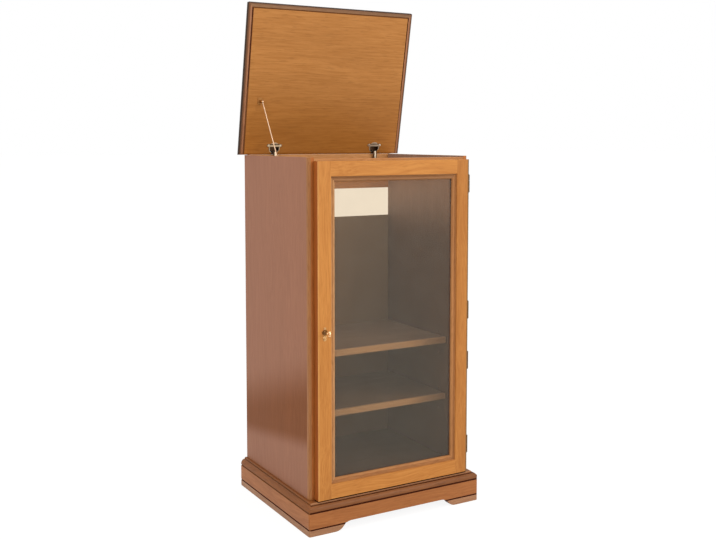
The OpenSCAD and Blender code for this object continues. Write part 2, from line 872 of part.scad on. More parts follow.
// cross-shaped plate on the hinge rail under each arm
module lid_hinge_plates() {
    color("#b8b4ac")
        for (x = lid_hinge_xs) {
            board([x - arm_w / 2 - 1, y_rebate - arm_plate_t, arm_low_z - 4],
                [x + arm_w / 2 + 1, y_rebate, z_top - foot_drop + 4]);
            wing_x = arm_w / 2 + 1 + wing_w;
            board([x - wing_x, y_rebate - arm_plate_t + 1, z_top - wing_drop - wing_h],
                [x + wing_x, y_rebate, z_top - wing_drop]);
        }
}

// bracket under the lid with the fixed pin that carries the rod's eye
module stay_bracket() {
    y = pivot_y - stay_reach;
    z = lid_z0 - stay_drop;
    ear_x = stay_x - rod_d / 2 - stay_eye_play;
    ear_r = stay_pin_d / 2 + stay_wall - 0.25;
    head_x = stay_x + rod_d / 2 + stay_eye_play;
    head_t = 1.2;
    color("#c8b89a")
        opened()
            union() {
                board([ear_x + ear_t - bracket_w, y - bracket_len / 2, lid_z0 - bracket_t],
                    [ear_x + ear_t, y + bracket_len / 2, lid_z0]);
                board([ear_x - ear_t, y - ear_r, z], [ear_x, y + ear_r, lid_z0 - bracket_t / 2]);
                bar_x([ear_x - ear_t, y, z], 2 * ear_r, ear_t);
                bar_x([ear_x - ear_t / 2, y, z], stay_pin_d, head_x + head_t / 2 - ear_x + ear_t / 2);
                bar_x([head_x, y, z], stay_pin_d + 2 * head_t, head_t);
            }
}

// draws along the rod: X runs from the lid pin to the guide and on
module along_rod() {
    translate([stay_x, stay_pin_y, stay_pin_z]) rotate([rod_a, 0, 0]) rotate([0, 0, -90])
        children();
}

module stay_rod() {
    color("#d8c2a4")
        along_rod()
            difference() {
                union() {
                    bar_x([0, 0, 0], rod_d, rod_len);
                    translate([0, rod_d / 2, 0]) rotate([90, 0, 0])
                        cylinder(r = rod_eye_r, h = rod_d);
                }
                translate([0, rod_d, 0]) rotate([90, 0, 0])
                    cylinder(d = stay_pin_d + 2 * play, h = 2 * rod_d);
            }
}

// round nut near the rod's end that stops the lid
module stay_stop() {
    color("#b8a888")
        along_rod()
            difference() {
                bar_x([stop_at, 0, 0], rod_d + 2 * stay_wall, stop_len);
                bar_x([stop_at - 1, 0, 0], rod_d, stop_len + 2);
            }
}

// plate and stud on the left panel that carry the guide
module stay_base() {
    color("#c8b89a") {
        bar_x([-inner_x, guide_y, guide_z], base_d, bracket_t);
        bar_x([-inner_x + bracket_t / 2, guide_y, guide_z], stud_d,
            stay_off - bracket_t / 2 - rod_d / 2 - guide_wall - 0.3);
    }
}

// swivelling guide: the rod slides through it crosswise
module stay_guide() {
    color("#b8a888")
        difference() {
            bar_x([guide_x1 - guide_len, guide_y, guide_z], guide_d, guide_len);
            bar_x([guide_x1 - guide_len - 1, guide_y, guide_z], stud_d + 2 * play,
                guide_len + 1 - guide_d / 2 - rod_d / 2 - guide_wall);
            along_rod() bar_x([rod_reach - guide_d, 0, 0], rod_d + 2 * play, 2 * guide_d);
            bar_x([stay_x + rod_d / 2 + brake_gap, guide_y, guide_z], brake_d, guide_d);
        }
}

// thumb screw that brakes the rod
module stay_knob() {
    thread_x = stay_x + rod_d / 2 + brake_gap + eps;
    color("#b8a888") {
        bar_x([thread_x, guide_y, guide_z], brake_d, guide_x1 + knob_len / 2 - thread_x);
        bar_x([guide_x1, guide_y, guide_z], knob_d, knob_len);
    }
}

// mortises for the rails' tenons in the left stile
module mortises() {
    for (z = [door_z0 + shoulder, door_z1 - frame_w + shoulder])
        board([-glass_x - tenon_len, door_y + (door_t - tenon_t) / 2, z],
            [-glass_x + 1, door_y + (door_t + tenon_t) / 2, z + frame_w - 2 * shoulder]);
}

module door_stile_left() {
    color("#d08a48")
        difference() {
            board([-door_x, door_y, door_z0], [-glass_x, door_back_y, door_z1]);
            mortises();
            bar_y([lock_x, door_y - 1, lock_z], barrel_d, door_t + 2);
        }
}

module door_stile_right() {
    color("#d08a48")
        mirror([1, 0, 0])
            difference() {
                board([-door_x, door_y, door_z0], [-glass_x, door_back_y, door_z1]);
                mortises();
            }
}

// door rail with a tenon at each end
module door_rail(z) {
    board([-glass_x, door_y, z], [glass_x, door_back_y, z + frame_w]);
    board([-glass_x - tenon_len, door_y + (door_t - tenon_t) / 2, z + shoulder],
        [glass_x + tenon_len, door_y + (door_t + tenon_t) / 2, z + frame_w - shoulder]);
}

module door_rail_top() {
    color("#d08a48") door_rail(door_z1 - frame_w);
}

module door_rail_bottom() {
    color("#d08a48") door_rail(door_z0);
}

// glass bead seen from its end: X runs in from the frame, Y back from the door's face
module bead_profile() {
    nose_v = bead_back - nose_r - 1;
    translate([0, bead_step]) square([2.4, bead_back - bead_step]);
    translate([0, nose_v + nose_r * 0.4]) square([bead_w - nose_r, bead_back - nose_v - nose_r * 0.4]);
    intersection() {
        translate([bead_w - nose_r, nose_v + nose_r]) circle(r = nose_r);
        translate([0, nose_v]) square([bead_w, nose_r + 1]);
    }
    translate([bead_w - nose_r, bead_back - 1]) square([nose_r, 1]);
}

// a bead laid along a side of the sight opening: len is the opening's length, mitred
module bead_run(len) {
    intersection() {
        translate([0, 0, -len / 2]) linear_extrude(height = len) bead_profile();
        rotate([-90, 0, 0]) linear_extrude(height = door_t)
            polygon([[0, -len / 2], [bead_w, -len / 2 + bead_w], [bead_w, len / 2 - bead_w], [0, len / 2]]);
    }
}

module door_bead_left() {
    color("#9c6236")
        translate([-glass_x, door_y, (glass_z0 + glass_z1) / 2]) bead_run(glass_z1 - glass_z0);
}

module door_bead_right() {
    mirror([1, 0, 0]) door_bead_left();
}

module door_bead_bottom() {
    color("#9c6236")
        translate([0, door_y, glass_z0]) rotate([0, -90, 0]) bead_run(2 * glass_x);
}

module door_bead_top() {
    color("#9c6236")
        translate([0, door_y, glass_z1]) rotate([0, 90, 0]) bead_run(2 * glass_x);
}

module door_glass() {
    color("#5a5148", 0.55)
        board([-glass_x + glass_play, door_y + bead_back, glass_z0 + glass_play],
            [glass_x - glass_play, door_y + bead_back + glass_t, glass_z1 - glass_play]);
}

// strips behind the glass that hold it against the beads
module door_glass_stops() {
    y0 = door_y + bead_back + glass_t;
    w = bead_w - stop_less;
    color("#8a5a34") {
        for (s = [0, 1])
            mirror([s, 0, 0]) board([-glass_x, y0, glass_z0], [-glass_x + w, y0 + stop_t, glass_z1]);
        for (z = [glass_z0, glass_z1 - w])
            board([-glass_x + w + stop_joint, y0, z],
                [glass_x - w - stop_joint, y0 + stop_t, z + w]);
    }
}

// leaf that wraps from the knuckles round to the inside of the right panel
module frame_leaf(z) {
    for (k = [z - hinge_len / 2, z + hinge_len / 2 - knuckle_len])
        difference() {
            union() {
                bar_z([pin_x, pin_y, k], 2 * knuckle_r, knuckle_len);
                board([pin_x + knuckle_r - leaf_t, pin_y, k],
                    [pin_x + knuckle_r, y_front, k + knuckle_len]);
            }
            bar_z([pin_x, pin_y, k - 1], hinge_pin_d, knuckle_len + 2);
        }
    board([inner_x - leaf_t, y_front - leaf_t, z - hinge_len / 2],
        [pin_x + knuckle_r - leaf_t, y_front, z + hinge_len / 2]);
    board([inner_x - leaf_t, y_front, z - hinge_len / 2],
        [inner_x, y_front + wrap_len, z + hinge_len / 2]);
}

module hinge_frame_leaves() {
    color("#5a3a22")
        for (z = hinge_zs)
            frame_leaf(z);
}

// leaf on the door's edge with the middle knuckle
module door_leaf(z) {
    k = z - knuckle_len / 2;
    board([door_x, pin_y - knuckle_r - leaf_front, z - hinge_len / 2],
        [door_x + leaf_t, door_back_y - leaf_back, z + hinge_len / 2]);
    difference() {
        union() {
            bar_z([pin_x, pin_y, k], 2 * knuckle_r, knuckle_len);
            board([door_x + leaf_t, pin_y - knuckle_r, k],
                [pin_x, pin_y - knuckle_r + leaf_t, k + knuckle_len]);
        }
        bar_z([pin_x, pin_y, k - 1], hinge_pin_d + 2 * play, knuckle_len + 2);
    }
}

module hinge_door_leaves() {
    color("#5a3a22")
        for (z = hinge_zs)
            door_leaf(z);
}

module hinge_pins() {
    color("#6a4a2c")
        for (z = hinge_zs) {
            bar_z([pin_x, pin_y, z - hinge_len / 2], hinge_pin_d, hinge_len);
            for (k = [-1, 1])
                bar_z([pin_x, pin_y, z + k * (hinge_len / 2 + tip) - tip], hinge_pin_d + 2 * tip,
                    2 * tip);
        }
}

// brass keyhole plate with a round end, a waist and small side lobes
module lock_plate() {
    low = lock_z + plate_up - plate_h;
    // radii of the top lobe, the foot and the side lobes
    top_r = 4;
    foot_r = 5;
    side_r = 2.6;
    color("#c9a04a")
        difference() {
            translate([0, door_y, 0]) rotate([90, 0, 0]) linear_extrude(height = plate_t)
                union() {
                    translate([lock_x, lock_z]) circle(r = barrel_d / 2 + 1.5);
                    translate([lock_x, lock_z + plate_up - top_r]) circle(r = top_r);
                    translate([lock_x, low + foot_r]) circle(r = foot_r);
                    translate([lock_x - foot_r / 2, low + foot_r])
                        square([foot_r, lock_z + plate_up - top_r - low - foot_r]);
                    for (s = [-1, 1])
                        translate([lock_x + s * top_r, low + 2 * foot_r + 1]) circle(r = side_r);
                }
            bar_y([lock_x, door_y - plate_t - 1, lock_z], barrel_d, plate_t + 2);
        }
}

// fixed barrel through the stile with its front rim and rear nut
module lock_barrel() {
    color("#c9a04a")
        difference() {
            union() {
                bar_y([lock_x, door_y - plate_t - rim_t / 2, lock_z], barrel_d,
                    door_t + plate_t + rim_t / 2 + nut_t + 1.4);
                bar_y([lock_x, door_y - plate_t - rim_t, lock_z], barrel_d + 2 * rim_w, rim_t);
                bar_y([lock_x, door_back_y, lock_z], barrel_d + 5, nut_t);
            }
            bar_y([lock_x, plug_y - 2, lock_z], plug_d + 2 * play, door_t + 10);
        }
}

// turning plug with the keyway in its face
module lock_plug() {
    color("#d8b464")
        difference() {
            bar_y([lock_x, plug_y, lock_z], plug_d, tongue_y + tongue_t - plug_y);
            board([lock_x - blade_t / 2 - 0.1, plug_y - 1, lock_z - blade_h / 2 - 0.2],
                [lock_x + blade_t / 2 + 0.1, plug_y + blade_len + 1, lock_z + blade_h / 2 + 0.2]);
            bar_y([lock_x, plug_y - 1, lock_z], shank_d + 0.2, 1 + shank_in + 0.2);
        }
}

// tongue at the back of the plug, hanging down while the door is unlocked
module lock_tongue() {
    color("#c0a050")
        difference() {
            union() {
                bar_y([lock_x, tongue_y, lock_z], plug_d + 4, tongue_t);
                board([lock_x - 4.5, tongue_y, lock_z - tongue_len + 1.5],
                    [lock_x + 4.5, tongue_y + tongue_t, lock_z]);
                board([lock_x - 3, tongue_y, lock_z - tongue_len],
                    [lock_x + 3, tongue_y + tongue_t, lock_z - tongue_len + 1.5]);
            }
            bar_y([lock_x, tongue_y - 1, lock_z], plug_d, tongue_t + 2);
        }
}

// key with a pierced bow, upright while the door is unlocked
module lock_key() {
    // middle of the bow
    bow_y = plug_y - key_len + bow_r;
    // radii of the three holes through the bow
    hole_r = 2.2;
    top_hole_r = 1.6;
    color("#d8b464") {
        // shank with its collar, and the blade
        bar_y([lock_x, bow_y + bow_r, lock_z], shank_d, plug_y - bow_y - bow_r + shank_in);
        board([lock_x - blade_t / 2, plug_y + shank_in - 0.5, lock_z - blade_h / 2],
            [lock_x + blade_t / 2, plug_y + blade_len, lock_z + blade_h / 2]);
        bar_y([lock_x, plug_y - key_len / 2, lock_z], shank_d + 2, 1.6);
        // the bow lies in the plane of the blade
        translate([lock_x - bow_t / 2, bow_y, lock_z]) rotate([0, 90, 0])
            difference() {
                union() {
                    cylinder(r = bow_r + 1.6, h = bow_t);
                    for (s = [-1, 1])
                        translate([s * bow_r, -0.8, 0]) cylinder(r = bow_r, h = bow_t);
                }
                for (s = [-1, 1])
                    translate([s * bow_r, -0.8, -1]) cylinder(r = hole_r, h = bow_t + 2);
                translate([0, -2.4, -1]) cylinder(r = top_hole_r, h = bow_t + 2);
            }
    }
}

// catch on the left panel that the tongue turns behind
module lock_striker() {
    z = lock_z - catch_h / 2;
    color("#b8a888") {
        board([-inner_x, y_front, z], [-inner_x + catch_lip, y_front + 2, z + catch_h]);
        board([-inner_x, y_front + 1, z], [-inner_x + 1.6, y_front + catch_d, z + catch_h]);
    }
}

plinth_front();
plinth_left();
plinth_right();
plinth_rear();
plinth_blocks();
moulding_front();
moulding_left();
moulding_right();
bottom_panel();
side_left();
side_right();
edge_left();
edge_right();
rail_front();
rail_hinge();
back_panel();
shelf_upper();
shelf_upper_edge();
shelf_lower();
shelf_lower_edge();
shelf_pins();
door_buffers();
lid_panel();
lid_edge_front();
lid_edge_left();
lid_edge_right();
lid_cups();
lid_hinge_pins();
lid_hinge_arms();
lid_hinge_plates();
stay_bracket();
stay_rod();
stay_stop();
stay_base();
stay_guide();
stay_knob();
door_stile_left();
door_stile_right();
door_rail_top();
door_rail_bottom();
door_bead_left();
door_bead_right();
door_bead_top();
door_bead_bottom();
door_glass();
door_glass_stops();
hinge_frame_leaves();
hinge_door_leaves();
hinge_pins();
lock_plate();
lock_barrel();
lock_plug();
lock_tongue();
lock_key();
lock_striker();
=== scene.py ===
"""Looks of a hi-fi cabinet: varnished wood, tinted glass, brass and steel fittings, light and camera."""

import json
import logging
import math
from collections.abc import Callable
from dataclasses import dataclass, replace
from enum import Enum

import bmesh
import bpy
from mathutils import Matrix, Vector

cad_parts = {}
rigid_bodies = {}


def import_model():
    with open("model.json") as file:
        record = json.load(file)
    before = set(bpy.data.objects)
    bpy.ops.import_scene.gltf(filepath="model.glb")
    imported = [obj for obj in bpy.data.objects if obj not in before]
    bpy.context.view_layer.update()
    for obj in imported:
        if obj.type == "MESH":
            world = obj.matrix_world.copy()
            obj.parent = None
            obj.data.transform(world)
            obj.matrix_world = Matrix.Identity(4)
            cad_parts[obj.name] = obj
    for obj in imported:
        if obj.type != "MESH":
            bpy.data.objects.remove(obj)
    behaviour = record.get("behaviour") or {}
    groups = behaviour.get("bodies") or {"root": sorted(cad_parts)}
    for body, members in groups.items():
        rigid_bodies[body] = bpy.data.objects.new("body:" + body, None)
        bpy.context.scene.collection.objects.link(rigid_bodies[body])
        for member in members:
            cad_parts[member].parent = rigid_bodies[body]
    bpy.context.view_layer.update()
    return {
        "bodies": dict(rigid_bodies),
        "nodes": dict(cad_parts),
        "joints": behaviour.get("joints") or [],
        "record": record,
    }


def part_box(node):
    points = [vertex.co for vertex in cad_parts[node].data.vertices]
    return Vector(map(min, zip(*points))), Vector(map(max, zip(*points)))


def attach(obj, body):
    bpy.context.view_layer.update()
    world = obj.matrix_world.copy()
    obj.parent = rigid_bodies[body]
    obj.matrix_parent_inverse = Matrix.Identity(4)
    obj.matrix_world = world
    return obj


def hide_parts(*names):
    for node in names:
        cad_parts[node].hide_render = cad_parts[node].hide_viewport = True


LOG = logging.getLogger("hifi_cabinet")
MM = 0.001
# Photograph's frame, in pixels
PHOTO_W = 716
PHOTO_H = 540
# Edges that turn by more than the first are sharp, faces that turn by less than the second are one
CREASE = math.radians(28)
FLAT = math.radians(0.5)
# Distances within which vertices are merged, lie on a cut, and edges lie in a joint
MERGE_MM = 0.002
CUT_MM = 0.001
TOUCH_MM = 0.05
# Steps in which an edge is rounded
ROUND_STEPS = 2
# Least part of a unit normal in a direction, for a face that looks that way, or nearly straight
TOWARD = 0.5
STRAIGHT = 0.7
# Least part of both level and upright in the normal of a V groove's side
GROOVE_SLOPE = 0.6
# Refraction of varnish and glass
GLOSS_IOR = 1.5
# Shift of the grain from one board to the next, in metres
BOARD_STEP = Vector((0.37, 0.61, 0.83))
# Wandering of the grain: its size against the figure's along and across, and the spread of its noise
DRIFT_ALONG = 0.5
DRIFT_ACROSS = 1.6
DRIFT_SPREAD = 4
# A band tint that changes nothing
NO_BAND_TINT = "#ffffff"
# Directions in the cabinet's frame
RIGHTWARD = Vector((1, 0, 0))
LEFTWARD = Vector((-1, 0, 0))
BACKWARD = Vector((0, 1, 0))
FORWARD = Vector((0, -1, 0))
UPWARD = Vector((0, 0, 1))
DOWNWARD = Vector((0, 0, -1))

Tree = bpy.types.NodeTree
Socket = bpy.types.NodeSocket
Material = bpy.types.Material
Mesh = bmesh.types.BMesh
Span = tuple[float, float]
# Tells from a face's middle and normal whether it belongs to a finish
Region = Callable[[Vector, Vector], bool]


class Grain(Enum):
    """Direction in which the grain of a board runs, as the number of its axis."""

    ACROSS = 0
    DEEP = 1
    UPRIGHT = 2


class Side(Enum):
    """Left or right as seen from the front, as the sign of X."""

    LEFT = -1
    RIGHT = 1


def linear(colour: str) -> tuple[float, float, float, float]:
    """Turns an sRGB hex colour to linear values.

    Args:
        colour: The colour, such as "#c08040".

    Returns:
        Red, green, blue and an alpha of 1.
    """
    channels = [int(colour[i : i + 2], 16) / 255 for i in (1, 3, 5)]
    red, green, blue = (c / 12.92 if c <= 0.04045 else ((c + 0.055) / 1.055) ** 2.4 for c in channels)
    return red, green, blue, 1.0


def put(tree: Tree, kind: str, links: dict | None = None, **settings: object) -> bpy.types.Node:
    """Adds one node to a material.

    Args:
        tree: The node tree that gets the node.
        kind: The node's type.
        links: For each input, by name or number, a socket to link or a value to set.
        settings: Properties of the node itself.

    Returns:
        The new node.
    """
    node = tree.nodes.new(kind)
    for name, value in settings.items():
        setattr(node, name, value)
    for name, source in (links or {}).items():
        if isinstance(source, Socket):
            tree.links.new(source, node.inputs[name])
        else:
            node.inputs[name].default_value = source
    return node


def noise(
    tree: Tree, at: Socket, scale: float, detail: float, roughness: float = 0.5, output: str = "Fac"
) -> Socket:
    """Adds a noise from 0 to 1, of lumps for each unit of the coordinates and finer layers in them."""
    links = {"Vector": at, "Scale": scale, "Detail": detail, "Roughness": roughness}
    return put(tree, "ShaderNodeTexNoise", links).outputs[output]


def ranged(tree: Tree, value: Socket, given: Span, wanted: Span = (0.0, 1.0), **settings: str) -> Socket:
    """Maps one range of values to another, and what lies outside to its ends."""
    ends = dict(zip(("From Min", "From Max", "To Min", "To Max"), (*given, *wanted)))
    return put(tree, "ShaderNodeMapRange", {"Value": value, **ends}, **settings).outputs[0]


def swinging(tree: Tree, value: Socket, middle: float, swing: Span) -> Socket:
    """Lets a number swing about its middle with a noise."""
    return ranged(tree, value, (0.0, 1.0), (middle + swing[0], middle + swing[1]))


def counted(tree: Tree, operation: str, *values: Socket | float) -> Socket:
    """Works a number out from others."""
    return put(tree, "ShaderNodeMath", dict(enumerate(values)), operation=operation).outputs[0]


def mixed(tree: Tree, share: Socket, first: Socket | str, second: str, blend: str = "MIX") -> Socket:
    """Lays one colour over another.

    Args:
        tree: The node tree.
        share: Share of the second colour.
        first: The first colour, as a socket or in sRGB hex.
        second: The second colour, in sRGB hex.
        blend: How the second is laid over the first.

    Returns:
        The mixed colour.
    """
    base = linear(first) if isinstance(first, str) else first
    # a colour mix has several inputs called A and B, so they are given by number
    links = {0: share, 6: base, 7: linear(second)}
    return put(tree, "ShaderNodeMix", links, data_type="RGBA", blend_type=blend).outputs[2]


def embossed(tree: Tree, height: Socket, strength: float, depth_mm: float, sunk: bool = False) -> Socket:
    """Gives the normal of a surface with fine relief, whose height goes from 0 to 1."""
    links = {"Height": height, "Strength": strength, "Distance": depth_mm * MM}
    return put(tree, "ShaderNodeBump", links, invert=sunk).outputs[0]


def surfaced(tree: Tree, links: dict) -> None:
    """Ends a material in its shader."""
    shader = put(tree, "ShaderNodeBsdfPrincipled", links)
    put(tree, "ShaderNodeOutputMaterial", {"Surface": shader.outputs[0]})


def blank(name: str) -> tuple[Material, Tree, Socket]:
    """Makes a material that holds only the object's coordinates.

    Args:
        name: The material's name.

    Returns:
        The material, its node tree and the coordinates.
    """
    material = bpy.data.materials.new(name)
    material.use_nodes = True
    tree = material.node_tree
    tree.nodes.clear()
    return material, tree, put(tree, "ShaderNodeTexCoord").outputs["Object"]


@dataclass(frozen=True)
class WoodFinish:
    """Stained and satin-varnished hardwood or veneer.

    The grain is three layers of noise drawn out along the board: a broad figure, fine lines and
    dark pores. Lines are drawn a little wider than the real ones, so that they show in the render.
    A board may be darkened within a band of heights, which paints shade on the left side panel, the lining
    and the lid, and leaves the plinth's foot paler. The band's ends may slant, as the edge of a shadow does.
    """

    name: str
    pale: str
    tone: str
    deep: str
    line_mm: float = 5.0
    line_len_mm: float = 190.0
    pore_mm: float = 2.6
    pore_len_mm: float = 34.0
    figure_mm: float = 75.0
    figure_len_mm: float = 520.0
    drift_mm: float = 16.0
    pore_share: float = 0.35
    figure_share: float = 0.3
    roughness: float = 0.45
    specular: float = 0.14
    coat: float = 0.05
    band_tint: str = NO_BAND_TINT
    # heights between which the band starts, and between which it ends
    band_foot_mm: Span = (-20.0, -10.0)
    band_top_mm: Span = (2000.0, 2010.0)
    # rise of the band's two ends for each millimetre toward the front
    band_slant: Span = (0.0, 0.0)
    # values of its noise between which each layer sets in, and the noise's finer layers
    line_shown: Span = (0.34, 0.66)
    pore_shown: Span = (0.56, 0.7)
    figure_shown: Span = (0.4, 0.72)
    fineness: float = 0.55
    sheen_swing: Span = (-0.06, 0.06)
    coat_roughness: float = 0.22
    relief: float = 0.25
    relief_mm: float = 0.12

    def stretched(self, tree: Tree, at: Socket, grain: Grain, along_mm: float, across_mm: float) -> Socket:
        """Draws coordinates out along the grain.

        Args:
            tree: The material's node tree.
            at: The coordinates.
            grain: Direction of the grain.
            along_mm: Size of the pattern along the grain.
            across_mm: Size of the pattern across it.

        Returns:
            The drawn-out coordinates.
        """
        scale = Vector((1, 1, 1)) / (across_mm * MM)
        scale[grain.value] = 1 / (along_mm * MM)
        return put(tree, "ShaderNodeMapping", {"Vector": at, "Scale": scale}).outputs[0]

    def bent(self, tree: Tree, spot: Socket, grain: Grain) -> Socket:
        """Lets the grain wander sideways by a few millimetres.

        Args:
            tree: The material's node tree.
            spot: Coordinates on the level board.
            grain: Direction of the grain.

        Returns:
            The moved coordinates.
        """
        along, across = self.figure_len_mm * DRIFT_ALONG, self.figure_mm * DRIFT_ACROSS
        drift = noise(tree, self.stretched(tree, spot, grain, along, across), 1.0, 1.0, output="Color")
        links = {0: drift, 1: (0.5, 0.5, 0.5)}
        swing = put(tree, "ShaderNodeVectorMath", links, operation="SUBTRACT").outputs[0]
        reach = Vector((1, 1, 1)) * self.drift_mm * DRIFT_SPREAD * MM
        reach[grain.value] = 0
        links = {0: swing, 1: reach, 2: spot}
        return put(tree, "ShaderNodeVectorMath", links, operation="MULTIPLY_ADD").outputs[0]

    def darkened(self, tree: Tree, spot: Socket, colour: Socket) -> Socket:
        """Darkens the band of heights, with soft ends.

        Args:
            tree: The material's node tree.
            spot: Coordinates on the board as it stands.
            colour: The wood's colour.

        Returns:
            The colour with its band.
        """
        shares = []
        for (gone_mm, full_mm), slant in zip((self.band_foot_mm, self.band_top_mm[::-1]), self.band_slant):
            place = put(tree, "ShaderNodeSeparateXYZ", {0: spot}).outputs
            level = counted(tree, "MULTIPLY_ADD", place["Y"], slant, place["Z"])
            ends = (gone_mm * MM, full_mm * MM)
            shares.append(ranged(tree, level, ends, interpolation_type="SMOOTHSTEP"))
        return mixed(tree, counted(tree, "MULTIPLY", *shares), colour, self.band_tint, "MULTIPLY")

    def build(self, grain: Grain, board: int, turn: float = 0.0) -> Material:
        """Makes the finish for one board.

        Args:
            grain: Direction of the grain.
            board: Number of the board, so that no two show the same grain.
            turn: Angle about X that lays the board level before its grain is drawn.

        Returns:
            The material.
        """
        material, tree, spot = blank(f"{self.name}_{grain.name.lower()}_{board}")
        links = {"Vector": spot, "Rotation": (turn, 0, 0), "Location": BOARD_STEP * (board + 1)}
        bent = self.bent(tree, put(tree, "ShaderNodeMapping", links).outputs[0], grain)
        layers = {}
        for layer, along, across, detail in (
            ("figure", self.figure_len_mm, self.figure_mm, 2.0),
            ("line", self.line_len_mm, self.line_mm, 3.0),
            ("pore", self.pore_len_mm, self.pore_mm, 1.0),
        ):
            at = self.stretched(tree, bent, grain, along, across)
            layers[layer] = noise(tree, at, 1.0, detail, self.fineness)
        line = ranged(tree, layers["line"], self.line_shown)
        pore = ranged(tree, layers["pore"], self.pore_shown, (0.0, self.pore_share))
        figure = ranged(tree, layers["figure"], self.figure_shown, (0.0, self.figure_share))
        colour = mixed(tree, line, self.pale, self.tone)
        for layer in (figure, pore):
            colour = mixed(tree, layer, colour, self.deep)
        if self.band_tint != NO_BAND_TINT:
            colour = self.darkened(tree, spot, colour)
        hollow = counted(tree, "ADD", line, pore)
        links = {
            "Base Color": colour,
            "Roughness": swinging(tree, layers["line"], self.roughness, self.sheen_swing),
            "Normal": embossed(tree, hollow, self.relief, self.relief_mm, sunk=True),
            "IOR": GLOSS_IOR,
            "Specular IOR Level": self.specular,
            "Coat Weight": self.coat,
            "Coat Roughness": self.coat_roughness,
        }
        surfaced(tree, links)
        return material


@dataclass(frozen=True)
class MetalFinish:
    """Plated or solid metal with fine rubbing marks and finger smears in its shine."""

    name: str
    tone: str
    tarnish: str
    roughness: float
    mark_mm: float = 3.0
    tarnish_share: float = 0.4
    # sizes of smears and rubbing marks against mark_mm
    smear_size: float = 2.0
    rub_size: float = 0.2
    tarnish_shown: Span = (0.45, 0.75)
    sheen_swing: Span = (-0.08, 0.12)
    relief: float = 0.1
    relief_mm: float = 0.05

    def build(self) -> Material:
        """Makes the finish.

        Returns:
            The material.
        """
        material, tree, spot = blank(self.name)
        smear = noise(tree, spot, 1 / (self.mark_mm * self.smear_size * MM), 3.0)
        marks = noise(tree, spot, 1 / (self.mark_mm * self.rub_size * MM), 2.0)
        share = ranged(tree, smear, self.tarnish_shown, (0.0, self.tarnish_share))
        links = {
            "Base Color": mixed(tree, share, self.tone, self.tarnish),
            "Metallic": 1.0,
            "Roughness": swinging(tree, smear, self.roughness, self.sheen_swing),
            "Normal": embossed(tree, marks, self.relief, self.relief_mm),
        }
        surfaced(tree, links)
        return material


@dataclass(frozen=True)
class PlainFinish:
    """Unvarnished board, soft plastic or thick glaze: matt, with a fine speckle of fibres or grit."""

    name: str
    tone: str
    fleck: str
    fleck_mm: float
    roughness: float
    fleck_share: float = 0.5
    specular: float = 0.25
    fleck_shown: Span = (0.4, 0.7)
    sheen_swing: Span = (-0.05, 0.05)
    relief: float = 0.2
    relief_mm: float = 0.1

    def build(self) -> Material:
        """Makes the finish.

        Returns:
            The material.
        """
        material, tree, spot = blank(self.name)
        grit = noise(tree, spot, 1 / (self.fleck_mm * MM), 4.0)
        share = ranged(tree, grit, self.fleck_shown, (0.0, self.fleck_share))
        links = {
            "Base Color": mixed(tree, share, self.tone, self.fleck),
            "Roughness": swinging(tree, grit, self.roughness, self.sheen_swing),
            "Normal": embossed(tree, grit, self.relief, self.relief_mm),
            "Specular IOR Level": self.specular,
        }
        surfaced(tree, links)
        return material


@dataclass(frozen=True)
class GlassFinish:
    """Bronze-tinted float glass: it tints what is behind it and holds a faint grey veil, dust on the pane
    together with a painted reflection of the bright room.

    A ray crosses two faces of the pane, so tint and veil are those of one face.
    """

    name: str = "bronze_tinted_float_glass"
    tint: str = "#fcf3e5"
    veil: str = "#a8a39b"
    veil_share: float = 0.1
    veil_swing: Span = (-0.02, 0.02)
    # width of dust and wiping marks
    dust_mm: float = 45.0
    roughness: float = 0.05

    def build(self) -> Material:
        """Makes the finish.

        Returns:
            The material.
        """
        material, tree, spot = blank(self.name)
        dust = noise(tree, spot, 1 / (self.dust_mm * MM), 2.0)
        share = swinging(tree, dust, self.veil_share, self.veil_swing)
        through = put(tree, "ShaderNodeBsdfTransparent", {"Color": linear(self.tint)})
        links = {"Base Color": linear(self.veil), "Roughness": self.roughness, "IOR": GLOSS_IOR}
        surface = put(tree, "ShaderNodeBsdfPrincipled", links)
        both = put(tree, "ShaderNodeMixShader", {0: share, 1: through.outputs[0], 2: surface.outputs[0]})
        put(tree, "ShaderNodeOutputMaterial", {"Surface": both.outputs[0]})
        return material


# Solid hardwood under amber varnish: the door's frame, the brightest wood of the cabinet
DOOR_WOOD = WoodFinish(
    "amber_varnished_hardwood", "#d08c45", "#c17c3a", "#8a4b19", line_mm=4, pore_share=0.16, figure_share=0.2
)
# The same wood in the stile beside the hinges, darker with painted shade
SHADED_STILE_WOOD = WoodFinish(
    "deep_amber_hardwood", "#c68442", "#b87537", "#854818", line_mm=4, pore_share=0.16
)
# The same wood on the left stile's outer front edge, paler with a painted highlight
EDGE_HIGHLIGHT_WOOD = WoodFinish("rubbed_frame_edge", "#d39552", "#c58746", "#8f5524", line_mm=4, pore_share=0.1)
# The frame's outer front edge beside the hinges, darker with painted shade where it turns away from the
# light
SHADED_EDGE_WOOD = WoodFinish("olive_varnished_edge", "#8c6840", "#805d38", "#573d22", line_mm=3, pore_share=0.1)
# The same frame's sides, darker and redder than its front
DOOR_SIDE_WOOD = WoodFinish(
    "edge_stained_hardwood", "#a2561f", "#924b18", "#642f0c", pore_share=0.2, specular=0.08, coat=0.0
)
# Veneered left panel, stained a redder brown, with faint upright grain and painted shade in a slanting band
# low down
SIDE_WOOD = WoodFinish(
    "russet_stained_veneer",
    "#a26e53",
    "#9a684f",
    "#775039",
    pore_share=0.06,
    figure_share=0.1,
    specular=0.1,
    coat=0.03,
    band_tint="#d0ac5c",
    band_foot_mm=(190, 244),
    band_top_mm=(300, 452),
    band_slant=(0.15, 0.3),
)
# The right panel, without the band of painted shade
EVEN_SIDE_WOOD = replace(SIDE_WOOD, name="even_russet_veneer", band_tint="#ffffff")
# The panels' upper edges, rubbed paler
TOP_EDGE_WOOD = WoodFinish("rubbed_golden_edge", "#c08c5e", "#b28050", "#80522c", roughness=0.6, coat=0.0)
